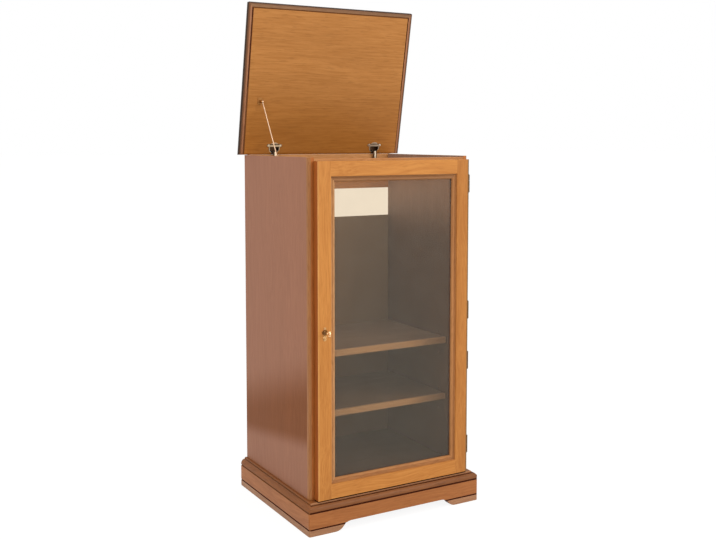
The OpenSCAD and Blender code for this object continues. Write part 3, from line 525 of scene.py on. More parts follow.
# The panels' inner faces, a plainer veneer, with painted shade that darkens them below the top, where the
# light falls in
LINING_WOOD = WoodFinish(
    "grey_brown_lining",
    "#a88672",
    "#9c7b66",
    "#6f5543",
    pore_share=0.12,
    band_tint="#958c81",
    band_top_mm=(760, 950),
)
# Solid strips on the panels' front edges
STRIP_WOOD = WoodFinish("golden_varnished_strip", "#b07646", "#a16a3d", "#6d4220", line_mm=4)
# The strips' front faces, painted lighter and warmer to make up for the door's shadow on them
LIT_STRIP_FRONT_WOOD = WoodFinish("warm_stained_strip", "#bf7236", "#b16731", "#7c4320", line_mm=4)
# Inside of the lid: oak-like veneer whose level grain shows clearly, darker towards its lower end with
# painted shade
LID_WOOD = WoodFinish(
    "golden_oak_veneer",
    "#bf8143",
    "#b07337",
    "#7c4b1b",
    line_mm=5,
    line_len_mm=90,
    pore_mm=3.2,
    pore_len_mm=34,
    pore_share=0.24,
    figure_share=0.14,
    drift_mm=4,
    band_tint="#e6dab6",
    band_top_mm=(1070, 1300),
)
# Moulded strips round the lid
LID_EDGE_WOOD = WoodFinish("brown_stained_moulding", "#ad7652", "#9e6947", "#6a402a", line_mm=3.5)
# The front strip, a shade greyer
LID_FRONT_WOOD = WoodFinish("greyed_brown_moulding", "#966e4d", "#896243", "#5c3f29", line_mm=3.5)
# The same strips along their outer edges, darker with painted shade
LID_PAINTED_SHADE_WOOD = WoodFinish("handled_brown_moulding", "#7d5336", "#70492f", "#4a2f1d", line_mm=3.5)
# The strips' outer rounds, nearly black with painted shade where they turn away from the light
LID_SHADED_RIM_WOOD = WoodFinish("dark_glazed_rim", "#453326", "#3a2a20", "#281c15", line_mm=3.5)
# Plinth boards: scuffed pale below their lower groove, tawny above it
PLINTH_WOOD = WoodFinish(
    "tawny_stained_board",
    "#b28360",
    "#a57555",
    "#734d30",
    line_mm=4.5,
    pore_share=0.2,
    band_tint="#ffdeae",
    band_foot_mm=(17, 21),
)
# The moulding above them
MOULDING_WOOD = WoodFinish("umber_stained_moulding", "#8c5830", "#7e4c2a", "#563318", line_mm=3.5)
# The same moulding along the sides, painted lighter to make up for the weaker light that falls there
LIT_MOULDING_SIDE_WOOD = WoodFinish("thin_stained_moulding", "#93582a", "#854e24", "#5a3213", line_mm=3.5)
# The front of the moulding's bead, paler with a painted highlight
CREST_HIGHLIGHT_WOOD = WoodFinish("rubbed_bead_crest", "#b47e56", "#a57049", "#7a4e2d", line_mm=3.5, pore_share=0.1)
# Dark red-brown glaze in the grooves, with painted shade that darkens them further
GROOVE_GLAZE_AND_SHADE = PlainFinish("dark_glaze_in_grooves", "#4a1e0c", "#321206", 2.0, 0.6, specular=0.05)
# A painted shadow, nearly black, on the ledge under the door and on the bead's back beside it
LEDGE_SHADOW = PlainFinish("dark_glaze_on_ledge", "#260c02", "#180601", 2.0, 0.7, specular=0.0)
# The same glaze and painted shade where they lie thinner
THIN_GLAZE_AND_SHADE = PlainFinish("thin_glaze_in_grooves", "#764828", "#5e371c", 2.0, 0.6, specular=0.05)
# Rails inside the carcass, a clear golden stain
RAIL_WOOD = WoodFinish("golden_stained_rail", "#cb8f58", "#bc8049", "#86542a", pore_share=0.2)
# Bottom panel, darkened and dusty
BOTTOM_WOOD = WoodFinish("dusty_dark_board", "#5e4e44", "#54453c", "#3e322b", pore_share=0.2)
# Shelves, greyed by dust and heat, and their solid front strips
SHELF_WOOD = WoodFinish("greyed_shelf_veneer", "#7f6f66", "#74645b", "#574a42", pore_share=0.2)
SHELF_EDGE_WOOD = WoodFinish("pale_shelf_strip", "#bd9f82", "#af9276", "#806852", pore_share=0.2)
# Beads round the glass: browner than the frame, painted lighter on the left, darker under the top rail with
# painted shade
BEAD_WOOD = WoodFinish("chestnut_stained_bead", "#bb814e", "#ac7344", "#7a4823", line_mm=3)
LIT_BEAD_WOOD = WoodFinish("faded_bead", "#cc9765", "#bd8858", "#86572f", line_mm=3)
DARK_BEAD_WOOD = WoodFinish("shaded_bead", "#a37248", "#96663e", "#6a3f20", line_mm=3)
# Strips behind the glass, dark against it
STOP_WOOD = WoodFinish("dark_stained_strip", "#5c3418", "#4e2b13", "#33190a", line_mm=3)
# Planed pine glue blocks inside the plinth
PINE_WOOD = WoodFinish("planed_pine", "#d8b078", "#c89c64", "#946838", roughness=0.6, coat=0.0)
# Hardboard, smooth on its face: a flat brown
BACK_BOARD = PlainFinish("brown_hardboard", "#8b7865", "#7b6a58", 4.0, 0.7)
# Soft vinyl pads behind the door
PAD_PLASTIC = PlainFinish("soft_vinyl_pad", "#4a4038", "#3a322c", 1.2, 0.55)
# Thin baize under the lid's edge, faded to a golden tan
BAIZE = PlainFinish("faded_baize", "#dcaa70", "#c08e56", 1.2, 0.85, specular=0.1)
# Nickel plate gone dull, on cups and plates
HINGE_STEEL = MetalFinish("dull_nickel_plate", "#cbbba4", "#85765f", 0.34)
# The same plate with painted shade: inside the cups, along a line in their flanges and on the arms
SHADED_STEEL = MetalFinish("dark_nickel_plate", "#5c4634", "#35271c", 0.42)
# Screws with their plating still bright
SCREW_STEEL = MetalFinish("bright_plated_screw", "#f0e4d0", "#c4b49c", 0.22)
PIN_STEEL = MetalFinish("bright_steel_pin", "#c2bdb4", "#8f887c", 0.3)
# Steel with a baked bronze colour: dark reddish brown, dull
HINGE_BRONZE = MetalFinish("bronzed_steel", "#52301c", "#2c180c", 0.6)
# Satin brass: the stay's rod, gone slightly pink
ROD_BRASS = MetalFinish("satin_brass_rod", "#d8b494", "#a88462", 0.35)
# The same metal under old lacquer, golden brown
STAY_BRASS = MetalFinish("lacquered_brass", "#ac7a44", "#7c5228", 0.42)
# Lock plate: brass gone dull and spotted
LOCK_BRASS = MetalFinish("tarnished_brass", "#d8a870", "#7a4e22", 0.36, mark_mm=2.0, tarnish_share=0.9)
# Barrel and plug, brown inside the plate
BARREL_BRASS = MetalFinish("browned_brass", "#80562e", "#54361a", 0.45, mark_mm=2.0, tarnish_share=0.9)
# The key, rubbed bright by fingers
KEY_BRASS = MetalFinish("rubbed_key_brass", "#f0cda0", "#b08850", 0.22)
GLASS = GlassFinish()


@dataclass(frozen=True)
class Patch:
    """Part of a piece that has a finish of its own, told by a face's middle and its normal."""

    material: Material
    covers: Region


def verts_in(made: list) -> list[bmesh.types.BMVert]:
    """Picks the vertices out of what an operator has made."""
    return [item for item in made if isinstance(item, bmesh.types.BMVert)]


@dataclass(frozen=True)
class Screw:
    """Countersunk wood screw with a cross recess."""

    head_mm: float = 6.0
    proud_mm: float = 0.25
    recess_mm: float = 1.1
    # the head's face is a square of cells, the cross being five in its middle
    cells: int = 5
    cell_share: float = 0.26
    cross_reach: float = 1.2
    # fall of the rim and depth of the wall against what stands proud
    rim_fall: float = 0.6
    wall_depth: float = 2.0

    def add(self, work: Mesh, place: Matrix) -> None:
        """Adds one screw head.

        Args:
            work: The mesh that gets it.
            place: Where its face is, with +Z out of the face.
        """
        radius = self.head_mm / 2 * MM
        cell = radius * self.cell_share
        square = {"x_segments": self.cells, "y_segments": self.cells, "size": cell * self.cells / 2}
        grid = bmesh.ops.create_grid(work, **square)
        faces = list({face for vert in grid["verts"] for face in vert.link_faces})
        reach = cell * self.cross_reach
        cross = [face for face in faces if sum(abs(v) for v in face.calc_center_median()[:2]) < reach]
        rim = list({edge for face in faces for edge in face.edges if edge.is_boundary})
        sunk = verts_in(bmesh.ops.extrude_face_region(work, geom=cross)["geom"])
        bmesh.ops.translate(work, verts=sunk, vec=(0, 0, -self.recess_mm * MM))
        skirt = bmesh.ops.extrude_edge_only(work, edges=rim)["geom"]
        ring = verts_in(skirt)
        for vert in ring:
            flat = Vector((vert.co.x, vert.co.y, 0)).normalized() * radius
            vert.co = flat - Vector((0, 0, self.proud_mm * self.rim_fall * MM))
        ring_edges = [item for item in skirt if isinstance(item, bmesh.types.BMEdge) and item.is_boundary]
        foot = verts_in(bmesh.ops.extrude_edge_only(work, edges=ring_edges)["geom"])
        bmesh.ops.translate(work, verts=foot, vec=(0, 0, -self.proud_mm * self.wall_depth * MM))
        made = list({vert for vert in grid["verts"] if vert.is_valid} | set(sunk + ring + foot))
        bmesh.ops.translate(work, verts=made, vec=(0, 0, self.proud_mm * MM))
        bmesh.ops.transform(work, matrix=place, verts=made)


def added(name: str, data: bpy.types.ID) -> bpy.types.Object:
    """Adds an object to the scene.

    Args:
        name: The object's name.
        data: Its mesh, lamp or camera.

    Returns:
        The object, which sits at the origin.
    """
    made = bpy.data.objects.new(name, data)
    bpy.context.scene.collection.objects.link(made)
    return made


class Workshop:
    """Makes pieces from CAD nodes and from new meshes, and puts each on its body."""

    def __init__(self, frame: dict) -> None:
        """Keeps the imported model.
        """
        self.frame = frame
        self.boards = 0
        self.body_of = {
            node: body for body, nodes in frame["record"]["behaviour"]["bodies"].items() for node in nodes
        }
        self.slot_of = {part["node"]: part["material_slot"] for part in frame["record"]["subparts"]}
        self.joints = {joint["name"]: joint for joint in frame["joints"]}
        self.shared: dict[str, Material] = {}

    def lid_turn(self) -> Matrix:
        """Gives the turn that takes what is drawn with the lid closed to the open lid at rest.

        Returns:
            The turn about the lid's hinge.
        """
        joint = self.joints["lid_hinge"]
        place = Vector(joint["pos_m"])
        turn = Matrix.Rotation(-math.radians(joint["range_deg"][1]), 4, Vector(joint["axis"]))
        return Matrix.Translation(place) @ turn @ Matrix.Translation(-place)

    def lid_angle(self) -> float:
        """Gives the angle between the lid at rest and the closed lid, in radians."""
        return math.radians(self.joints["lid_hinge"]["range_deg"][1])

    def closed_box(self, node: str) -> tuple[Vector, Vector]:
        """Gives the box of a node of the lid when the lid is closed.

        Args:
            node: The node's name.

        Returns:
            Its lowest and highest corner.
        """
        back = self.lid_turn().inverted()
        spots = [back @ vert.co for vert in self.frame["nodes"][node].data.vertices]
        low = Vector([min(spot[axis] for spot in spots) for axis in range(3)])
        high = Vector([max(spot[axis] for spot in spots) for axis in range(3)])
        return low, high

    def common(self, finish: MetalFinish | PlainFinish | GlassFinish) -> Material:
        """Gives the one material of a finish that every piece shares.

        Args:
            finish: The finish.

        Returns:
            Its material, made on the first call.
        """
        if finish.name not in self.shared:
            self.shared[finish.name] = finish.build()
        return self.shared[finish.name]

    def wood(self, finish: WoodFinish, grain: Grain, turn: float = 0.0) -> Material:
        """Makes the wood of one more board, turned about X by the angle that lays it level."""
        self.boards += 1
        return finish.build(grain, self.boards, turn)

    def dress(self, node: str, material: Material) -> None:
        """Gives a CAD node that stays as it is its material.

        Args:
            node: The node's name.
            material: What it is finished in.
        """
        piece = self.frame["nodes"][node]
        for place in piece.material_slots:
            place.material = material
        LOG.info("dressed %s in %s", node, material.name)

    def softened(
        self,
        node: str,
        edge_mm: float,
        material: Material,
        patches: tuple[Patch, ...] = (),
        flush: Callable[[Vector], bool] | None = None,
        shape: Callable[[Mesh], None] | None = None,
    ) -> bpy.types.Object:
        """Replaces a node by a copy whose outer edges are rounded, as a maker's sandpaper leaves them.

        Args:
            node: The node's name.
            edge_mm: Width of the rounded edge.
            material: What the piece is finished in.
            patches: Parts of it that have a finish of their own.
            flush: Tells from an edge's middle whether it lies in a flush joint and stays sharp.
            shape: Work on the copy's mesh before its edges are rounded.

        Returns:
            The new piece.
        """
        work = bmesh.new()
        work.from_mesh(self.frame["nodes"][node].data)
        bmesh.ops.remove_doubles(work, verts=work.verts, dist=MERGE_MM * MM)
        bmesh.ops.dissolve_limit(work, angle_limit=FLAT, verts=work.verts, edges=work.edges)
        if shape:
            shape(work)
        work.normal_update()
        for number, patch in enumerate(patches, start=1):
            for face in work.faces:
                if patch.covers(face.calc_center_median(), face.normal):
                    face.material_index = number
        weight = work.edges.layers.float.new("bevel_weight_edge")
        for edge in work.edges:
            if not edge.is_manifold or not edge.is_convex or edge.calc_face_angle(0.0) < CREASE:
                continue
            if not flush or not flush((edge.verts[0].co + edge.verts[1].co) / 2):
                edge[weight] = 1.0
        piece = self.piece(f"{node}_finished", work, self.body_of[node], material, self.slot_of[node])
        for patch in patches:
            piece.data.materials.append(patch.material)
        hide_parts(node)
        edge = piece.modifiers.new("sanded_edge", "BEVEL")
        edge.width = edge_mm * MM
        edge.segments = ROUND_STEPS
        edge.limit_method = "WEIGHT"
        edge.harden_normals = True
        return piece

    def piece(self, name: str, work: Mesh, body: str, material: Material, slot: str) -> bpy.types.Object:
        """Turns a finished bmesh into a piece of the model.

        Args:
            name: The piece's name.
            work: Its mesh, which is used up.
            body: The body that it rides on.
            material: Its material.
            slot: The record's material slot; not used.

        Returns:
            The new object, which sits at the origin.
        """
        mesh = bpy.data.meshes.new(name)
        work.to_mesh(mesh)
        work.free()
        mesh.polygons.foreach_set("use_smooth", [True] * len(mesh.polygons))
        mesh.set_sharp_from_angle(angle=CREASE)
        mesh.materials.append(material)
        made = added(name, mesh)
        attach(made, body)
        LOG.info("made %s with %d faces on %s", name, len(mesh.polygons), body)
        return made

    def screws(
        self, name: str, heads: list[tuple[Screw, Matrix]], body: str, finish: MetalFinish, slot: str
    ) -> None:
        """Makes one piece of several screw heads.

        Args:
            name: The piece's name.
            heads: Each screw, and where its face is.
            body: The body that it rides on.
            finish: The screws' finish.
            slot: The record's material slot.
        """
        work = bmesh.new()
        for screw, place in heads:
            screw.add(work, place)
        self.piece(name, work, body, self.common(finish), slot)


def sliced(work: Mesh, point: Vector, normal: Vector) -> None:
    """Cuts the faces of a mesh along a plane, so that a finish can end there."""
    geometry = work.verts[:] + work.edges[:] + work.faces[:]
    bmesh.ops.bisect_plane(work, geom=geometry, dist=CUT_MM * MM, plane_co=point, plane_no=normal)


def parted(work: Mesh, *places: float) -> None:
    """Cuts the faces of a mesh along upright planes that run from front to back, at each X."""
    for x in places:
        sliced(work, Vector((x, 0, 0)), RIGHTWARD)


def facing(point: Vector, normal: Vector) -> Matrix:
    """Gives the placement of a screw whose head lies at a point of a face, along its normal."""
    return Matrix.Translation(point) @ normal.to_track_quat("Z", "Y").to_matrix().to_4x4()


def sloped(normal: Vector) -> bool:
    """Tells whether a face is one side of a V groove."""
    return abs(normal.z) > GROOVE_SLOPE and math.hypot(normal.x, normal.y) > GROOVE_SLOPE


def topmost(height: float) -> Region:
    """Gives the region of the faces that look up within a millimetre of a height."""
    return lambda centre, normal: normal.z > TOWARD and centre.z > height - MM


@dataclass
class Plinth:
    """Moulded plinth on bracket feet."""

    shop: Workshop
    edge_mm: float = 0.7
    # a height between the two grooves, below the moulding
    between_mm: float = 4.0
    moulding_edge_mm: float = 0.3
    # the bead's foot stands this far behind the moulding's front
    moulding_out_mm: float = 21.0
    # groove at the moulding's foot
    foot_mm: float = 2.0
    # the hand-run bead is this much fuller than the drawn one
    fuller: float = 1.42
    bead_down_mm: float = 7.0
    bead_lip_mm: float = 8.35
    bead_end_mm: float = 14.0
    # large round: its radius, and its middle outward and up
    round_mm: float = 16.0
    round_out_mm: float = 5.0
    round_up_mm: float = 3.0
    mitre_mm: float = 0.02
    # hollow between bead and round
    quirk_out_mm: float = 9.73
    quirk_down_mm: float = 5.68
    quirk_mm: float = 2.3
    level: float = 0.999
    # where the door's shadow is painted: the ledge, and the bead's back as far outward and down
    ledge_mm: float = 1.1
    shaded_mm: Span = (5.0, 4.0)
    # where the bead's painted highlight lies in front, outward and down
    crest_mm: Span = (8.4, 5.0)

    def build(self) -> None:
        """Dresses the boards, the mouldings and the blocks inside."""
        shop = self.shop
        dark = shop.common(GROOVE_GLAZE_AND_SHADE)
        thin = shop.common(THIN_GLAZE_AND_SHADE)
        moulding_low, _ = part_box("moulding_front")
        between = moulding_low.z - self.between_mm * MM
        for node, grain, upper in (
            ("plinth_front", Grain.ACROSS, dark),
            ("plinth_left", Grain.DEEP, thin),
            ("plinth_right", Grain.DEEP, thin),
            ("plinth_rear", Grain.ACROSS, thin),
        ):
            patches = (
                Patch(dark, lambda centre, normal: sloped(normal) and centre.z < between),
                Patch(upper, lambda centre, normal: sloped(normal) and centre.z > between),
            )
            shop.softened(node, self.edge_mm, shop.wood(PLINTH_WOOD, grain), patches)
        for node, grain, groove, finish in (
            ("moulding_front", Grain.ACROSS, dark, MOULDING_WOOD),
            ("moulding_left", Grain.DEEP, thin, LIT_MOULDING_SIDE_WOOD),
            ("moulding_right", Grain.DEEP, thin, LIT_MOULDING_SIDE_WOOD),
        ):
            self.moulding(node, grain, groove, finish)
        shop.softened("plinth_blocks", self.edge_mm, shop.wood(PINE_WOOD, Grain.UPRIGHT))

    def moulding(self, node: str, grain: Grain, groove: Material, finish: WoodFinish) -> None:
        """Dresses a moulding: glaze and painted shade in its hollow, a painted shadow under the door, a
        painted highlight on the bead's front.

        Args:
            node: The node's name.
            grain: Direction of the grain.
            groove: Material of its hollow.
            finish: Its wood.
        """
        shop = self.shop
        low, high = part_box("moulding_front")
        door_low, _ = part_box("door_stile_left")
        front = grain is Grain.ACROSS

        quirk = Vector((self.quirk_out_mm, self.quirk_down_mm)) * MM

        def on_bead(centre: Vector, out_mm: float, down_mm: float) -> bool:
            """Tells whether a place is on the bead, at most so far outward and down."""
            return 0 < self.outward(centre) < out_mm * MM and centre.z > high.z - down_mm * MM

        def under_door(centre: Vector, normal: Vector) -> bool:
            """Tells whether a face takes the door's painted shadow, on the ledge or beside it on the bead.
            """
            shaded = centre.z > high.z - self.ledge_mm * MM or on_bead(centre, *self.shaded_mm)
            return front and shaded and abs(centre.x) < -door_low.x

        def in_hollow(centre: Vector, normal: Vector) -> bool:
            """Tells whether a face lies in the hollow between bead and large round."""
            away = Vector((self.outward(centre), high.z - centre.z)) - quirk
            return away.length < self.quirk_mm * MM and abs(normal.z) < self.level

        def on_crest(centre: Vector, normal: Vector) -> bool:
            """Tells whether a face lies on the front of the bead, where the highlight is painted."""
            return front and on_bead(centre, *self.crest_mm)

        def shape(work: Mesh) -> None:
            """Makes the bead fuller and ends the finishes at the door's edges."""
            self.swell(work)
            parted(work, door_low.x, -door_low.x)

        foot = low.z + self.foot_mm * MM
        patches = (
            Patch(groove, lambda centre, normal: sloped(normal) and centre.z < foot),
            Patch(shop.wood(CREST_HIGHLIGHT_WOOD, grain), on_crest),
            Patch(groove, in_hollow),
            Patch(shop.common(LEDGE_SHADOW), under_door),
        )
        shop.softened(node, self.moulding_edge_mm, shop.wood(finish, grain), patches, None, shape)

    def outs(self, point: Vector) -> Span:
        """Gives how far a point of a moulding stands out from the bead's foot.

        Args:
            point: A point on one of the three mouldings.

        Returns:
            The distance in metres in front, and at a side.
        """
        low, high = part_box("moulding_front")
        inset = self.moulding_out_mm * MM
        return low.y + inset - point.y, abs(point.x) - (high.x - inset)

    def outward(self, point: Vector) -> float:
        """Gives the larger of a point's distances outward."""
        return max(self.outs(point))

    def swell(self, work: Mesh) -> None:
        """Scales the bead and the hollow behind the large round, mitres and all.

        Args:
            work: The copy of a moulding.
        """
        low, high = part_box("moulding_front")
        lip = self.bead_lip_mm * MM
        end = self.bead_end_mm * MM
        for vert in work.verts:
            front_out, side_out = self.outs(vert.co)
            out = max(front_out, side_out)
            if vert.co.z < high.z - self.bead_down_mm * MM or not 0 < out < end:
                continue
            if out < lip:
                new_out = out * self.fuller
                new_z = high.z - (high.z - vert.co.z) * self.fuller
            else:
                new_out = end - (end - out) * (end - lip * self.fuller) / (end - lip)
                across = new_out - self.round_out_mm * MM
                new_z = low.z + self.round_up_mm * MM + math.sqrt((self.round_mm * MM) ** 2 - across**2)
            grow = new_out - out
            if out - front_out < self.mitre_mm * MM:
                vert.co.y -= grow
            if out - side_out < self.mitre_mm * MM:
                vert.co.x += math.copysign(grow, vert.co.x)
            vert.co.z = new_z


@dataclass
class Carcass:
    """Side panels with their edge strips, bottom, rails, back and shelves."""

    shop: Workshop
    edge_mm: float = 0.8
    inner_edge_mm: float = 0.4
    # least part of straight forward in the normal of a strip's front
    frontmost: float = 0.96
    nail_mm: float = 3.0
    nail_face_mm: float = 2.0
    nail_deep_mm: float = 0.8
    nail_sides: int = 12
    nail_gap_mm: float = 95.0
    nail_inset_mm: float = 6.0
    baize_mm: float = 0.8
    baize_inset_mm: float = 1.0
    baize_edge_mm: float = 0.15

    def build(self) -> None:
        """Dresses the boards, nails the back panel on and lays the baize."""
        self.sides()
        shop = self.shop
        _, rail_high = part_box("rail_hinge")
        top = Patch(shop.wood(TOP_EDGE_WOOD, Grain.ACROSS), topmost(rail_high.z))
        shop.softened("rail_hinge", self.edge_mm, shop.wood(RAIL_WOOD, Grain.ACROSS), (top,))
        for node, finish in (
            ("bottom_panel", BOTTOM_WOOD),
            ("rail_front", RAIL_WOOD),
            ("shelf_upper", SHELF_WOOD),
            ("shelf_lower", SHELF_WOOD),
            ("shelf_upper_edge", SHELF_EDGE_WOOD),
            ("shelf_lower_edge", SHELF_EDGE_WOOD),
        ):
            shop.softened(node, self.inner_edge_mm, shop.wood(finish, Grain.ACROSS))
        shop.dress("back_panel", shop.common(BACK_BOARD))
        shop.dress("shelf_pins", shop.common(PIN_STEEL))
        shop.dress("door_buffers", shop.common(PAD_PLASTIC))
        self.nails()
        self.baize()

    def sides(self) -> None:
        """Dresses the side panels and the solid strips on their front edges."""
        shop = self.shop
        _, strip_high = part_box("edge_left")

        def joint(middle: Vector) -> bool:
            """Tells whether an edge lies in the joint of panel and strip."""
            return abs(middle.y - strip_high.y) < TOUCH_MM * MM

        def front(centre: Vector, normal: Vector) -> bool:
            """Tells whether a face looks to the front."""
            return normal.y < -self.frontmost

        for side in Side:
            name = side.name.lower()

            def inner(centre: Vector, normal: Vector, side: Side = side) -> bool:
                """Tells whether a face looks into the cabinet."""
                return normal.x * side.value < -TOWARD

            top = Patch(shop.wood(TOP_EDGE_WOOD, Grain.DEEP), topmost(strip_high.z))
            lining = Patch(shop.wood(LINING_WOOD, Grain.UPRIGHT), inner)
            # painted light on the strips' fronts, which the door shades
            deep = Patch(shop.wood(LIT_STRIP_FRONT_WOOD, Grain.UPRIGHT), front)
            panel = shop.wood(SIDE_WOOD if side is Side.LEFT else EVEN_SIDE_WOOD, Grain.UPRIGHT)
            shop.softened(f"side_{name}", self.edge_mm, panel, (lining, top), joint)
            strip = shop.wood(STRIP_WOOD, Grain.UPRIGHT)
            shop.softened(f"edge_{name}", self.edge_mm, strip, (lining, deep, top), joint)

    def nails(self) -> None:
        """Sets a row of panel pins round the edge of the back panel."""
        low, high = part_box("back_panel")
        inset = self.nail_inset_mm * MM
        wide = high.x - low.x - 2 * inset
        tall = high.z - low.z - 2 * inset
        across = round(wide / (self.nail_gap_mm * MM))
        upward = round(tall / (self.nail_gap_mm * MM))
        spots = [(low.x + inset + wide * k / across, low.z + inset) for k in range(across + 1)]
        for k in range(1, upward + 1):
            height = low.z + inset + tall * k / upward
            spots += [(low.x + inset, height), (high.x - inset, height)]
        work = bmesh.new()
        for x, z in spots:
            bmesh.ops.create_cone(
                work,
                cap_ends=True,
                segments=self.nail_sides,
                radius1=self.nail_mm / 2 * MM,
                radius2=self.nail_face_mm / 2 * MM,
                depth=self.nail_deep_mm * MM,
                matrix=facing(Vector((x, high.y, z)), BACKWARD),
            )
        self.shop.piece("back_panel_pins", work, "carcass", self.shop.common(PIN_STEEL), "pin_steel")

    def baize(self) -> None:
        """Glues a thin strip of baize on the hinge rail, so that the lid's back edge lands softly."""
        low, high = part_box("rail_hinge")
        inset = self.baize_inset_mm * MM
        size = Vector((high.x - low.x - 2 * inset, high.y - low.y - 2 * inset, self.baize_mm * MM))
        middle = Vector(((low.x + high.x) / 2, (low.y + high.y) / 2, high.z + size.z / 2))
        work = bmesh.new()
        bmesh.ops.create_cube(work, size=1.0)
        bmesh.ops.scale(work, vec=size, verts=work.verts)
        bmesh.ops.bevel(
            work,
            geom=work.edges[:],
            offset=self.baize_edge_mm * MM,
            affect="EDGES",
            segments=ROUND_STEPS,
            profile=0.5,
            material=-1,
        )
        bmesh.ops.translate(work, vec=middle, verts=work.verts)
        slot = self.shop.slot_of["rail_hinge"]
        self.shop.piece("rail_baize", work, "carcass", self.shop.common(BAIZE), slot)


@dataclass
class Lid:
    """Veneered lid with its mitred moulded strips, open at rest."""

    shop: Workshop
    edge_mm: float = 0.6
    groove_mm: float = 1.9
    groove_deep_mm: float = 2.0
    # least part of outward in the normal of a strip's outer round
    outmost: float = 0.45
    # width of the painted shade along the strips' outer edges
    painted_edge_mm: float = 6.0
    margin_mm: float = 3.6

    def build(self) -> None:
        """Dresses the panel and the strips, with the grain turned with the lid."""
        shop = self.shop
        turn = shop.lid_angle()
        turned = shop.lid_turn()
        back = turned.inverted()
        aim = back.to_3x3()
        low, high = shop.closed_box("lid_panel")
        strip_low, strip_high = shop.closed_box("lid_edge_front")
        painted_edge = self.painted_edge_mm * MM
        groove = shop.common(GROOVE_GLAZE_AND_SHADE)
        thin = shop.common(THIN_GLAZE_AND_SHADE)

        def beside(spot: Vector) -> float:
            """Gives how far a place on the closed lid lies from the panel's outline."""
            return min(abs(abs(spot.x) - high.x), abs(spot.y - low.y))

        def in_groove(centre: Vector, normal: Vector) -> bool:
            """Tells whether a face is a side of the groove round the panel."""
            under = (back @ centre).z < low.z + self.groove_deep_mm * MM
            return under and beside(back @ centre) < self.groove_mm * MM and sloped(aim @ normal)

        def in_front_groove(centre: Vector, normal: Vector) -> bool:
            """Tells whether a face is a side of the groove along the front strip."""
            return in_groove(centre, normal) and abs((back @ centre).y - low.y) < self.groove_mm * MM

        def painted_edge_part(centre: Vector, normal: Vector) -> bool:
            """Tells whether a face lies near the lid's outer edge, where shade is painted."""
            spot = back @ centre
            return spot.y < strip_low.y + painted_edge or abs(spot.x) > strip_high.x - painted_edge

        def shape(work: Mesh) -> None:
            """Parts the strips where their outer edges start."""
            sliced(work, turned @ Vector((0, strip_low.y + painted_edge, low.z)), turned.to_3x3() @ BACKWARD)
            parted(work, painted_edge - strip_high.x, strip_high.x - painted_edge)

        def outer(centre: Vector, normal: Vector) -> bool:
            """Tells whether a face of a strip looks outward, where the darkest shade is painted."""
            way = aim @ normal
            return way.y < -self.outmost or abs(way.x) > self.outmost

        def joint(middle: Vector) -> bool:
            """Tells whether an edge lies in the joint of panel and strip."""
            return beside(back @ middle) < TOUCH_MM * MM

        def beside_groove(centre: Vector, normal: Vector) -> bool:
            """Tells whether a face is the panel's margin beside the left groove, painted with the grooves'
            glaze and shade.
            """
            return centre.x < self.margin_mm * MM - high.x and (aim @ normal).z < -STRAIGHT

        def margin(work: Mesh) -> None:
            """Parts the panel along that margin."""
            parted(work, self.margin_mm * MM - high.x)

        panel = shop.wood(LID_WOOD, Grain.ACROSS, turn)
        grooves = (Patch(groove, in_groove), Patch(thin, in_front_groove))
        groove_margin = Patch(thin, beside_groove)
        shop.softened("lid_panel", self.edge_mm, panel, (groove_margin, *grooves), joint, margin)
        for node, grain, finish in (
            ("lid_edge_front", Grain.ACROSS, LID_FRONT_WOOD),
            ("lid_edge_left", Grain.DEEP, LID_EDGE_WOOD),
            ("lid_edge_right", Grain.DEEP, LID_EDGE_WOOD),
        ):
            # painted shade along the strips' outer edges, darkest on their outer rounds
            shade = Patch(shop.wood(LID_PAINTED_SHADE_WOOD, grain, turn), painted_edge_part)
            rim = Patch(shop.wood(LID_SHADED_RIM_WOOD, grain, turn), outer)
            wood = shop.wood(finish, grain, turn)
            shop.softened(node, self.edge_mm, wood, (shade, rim, *grooves), joint, shape)


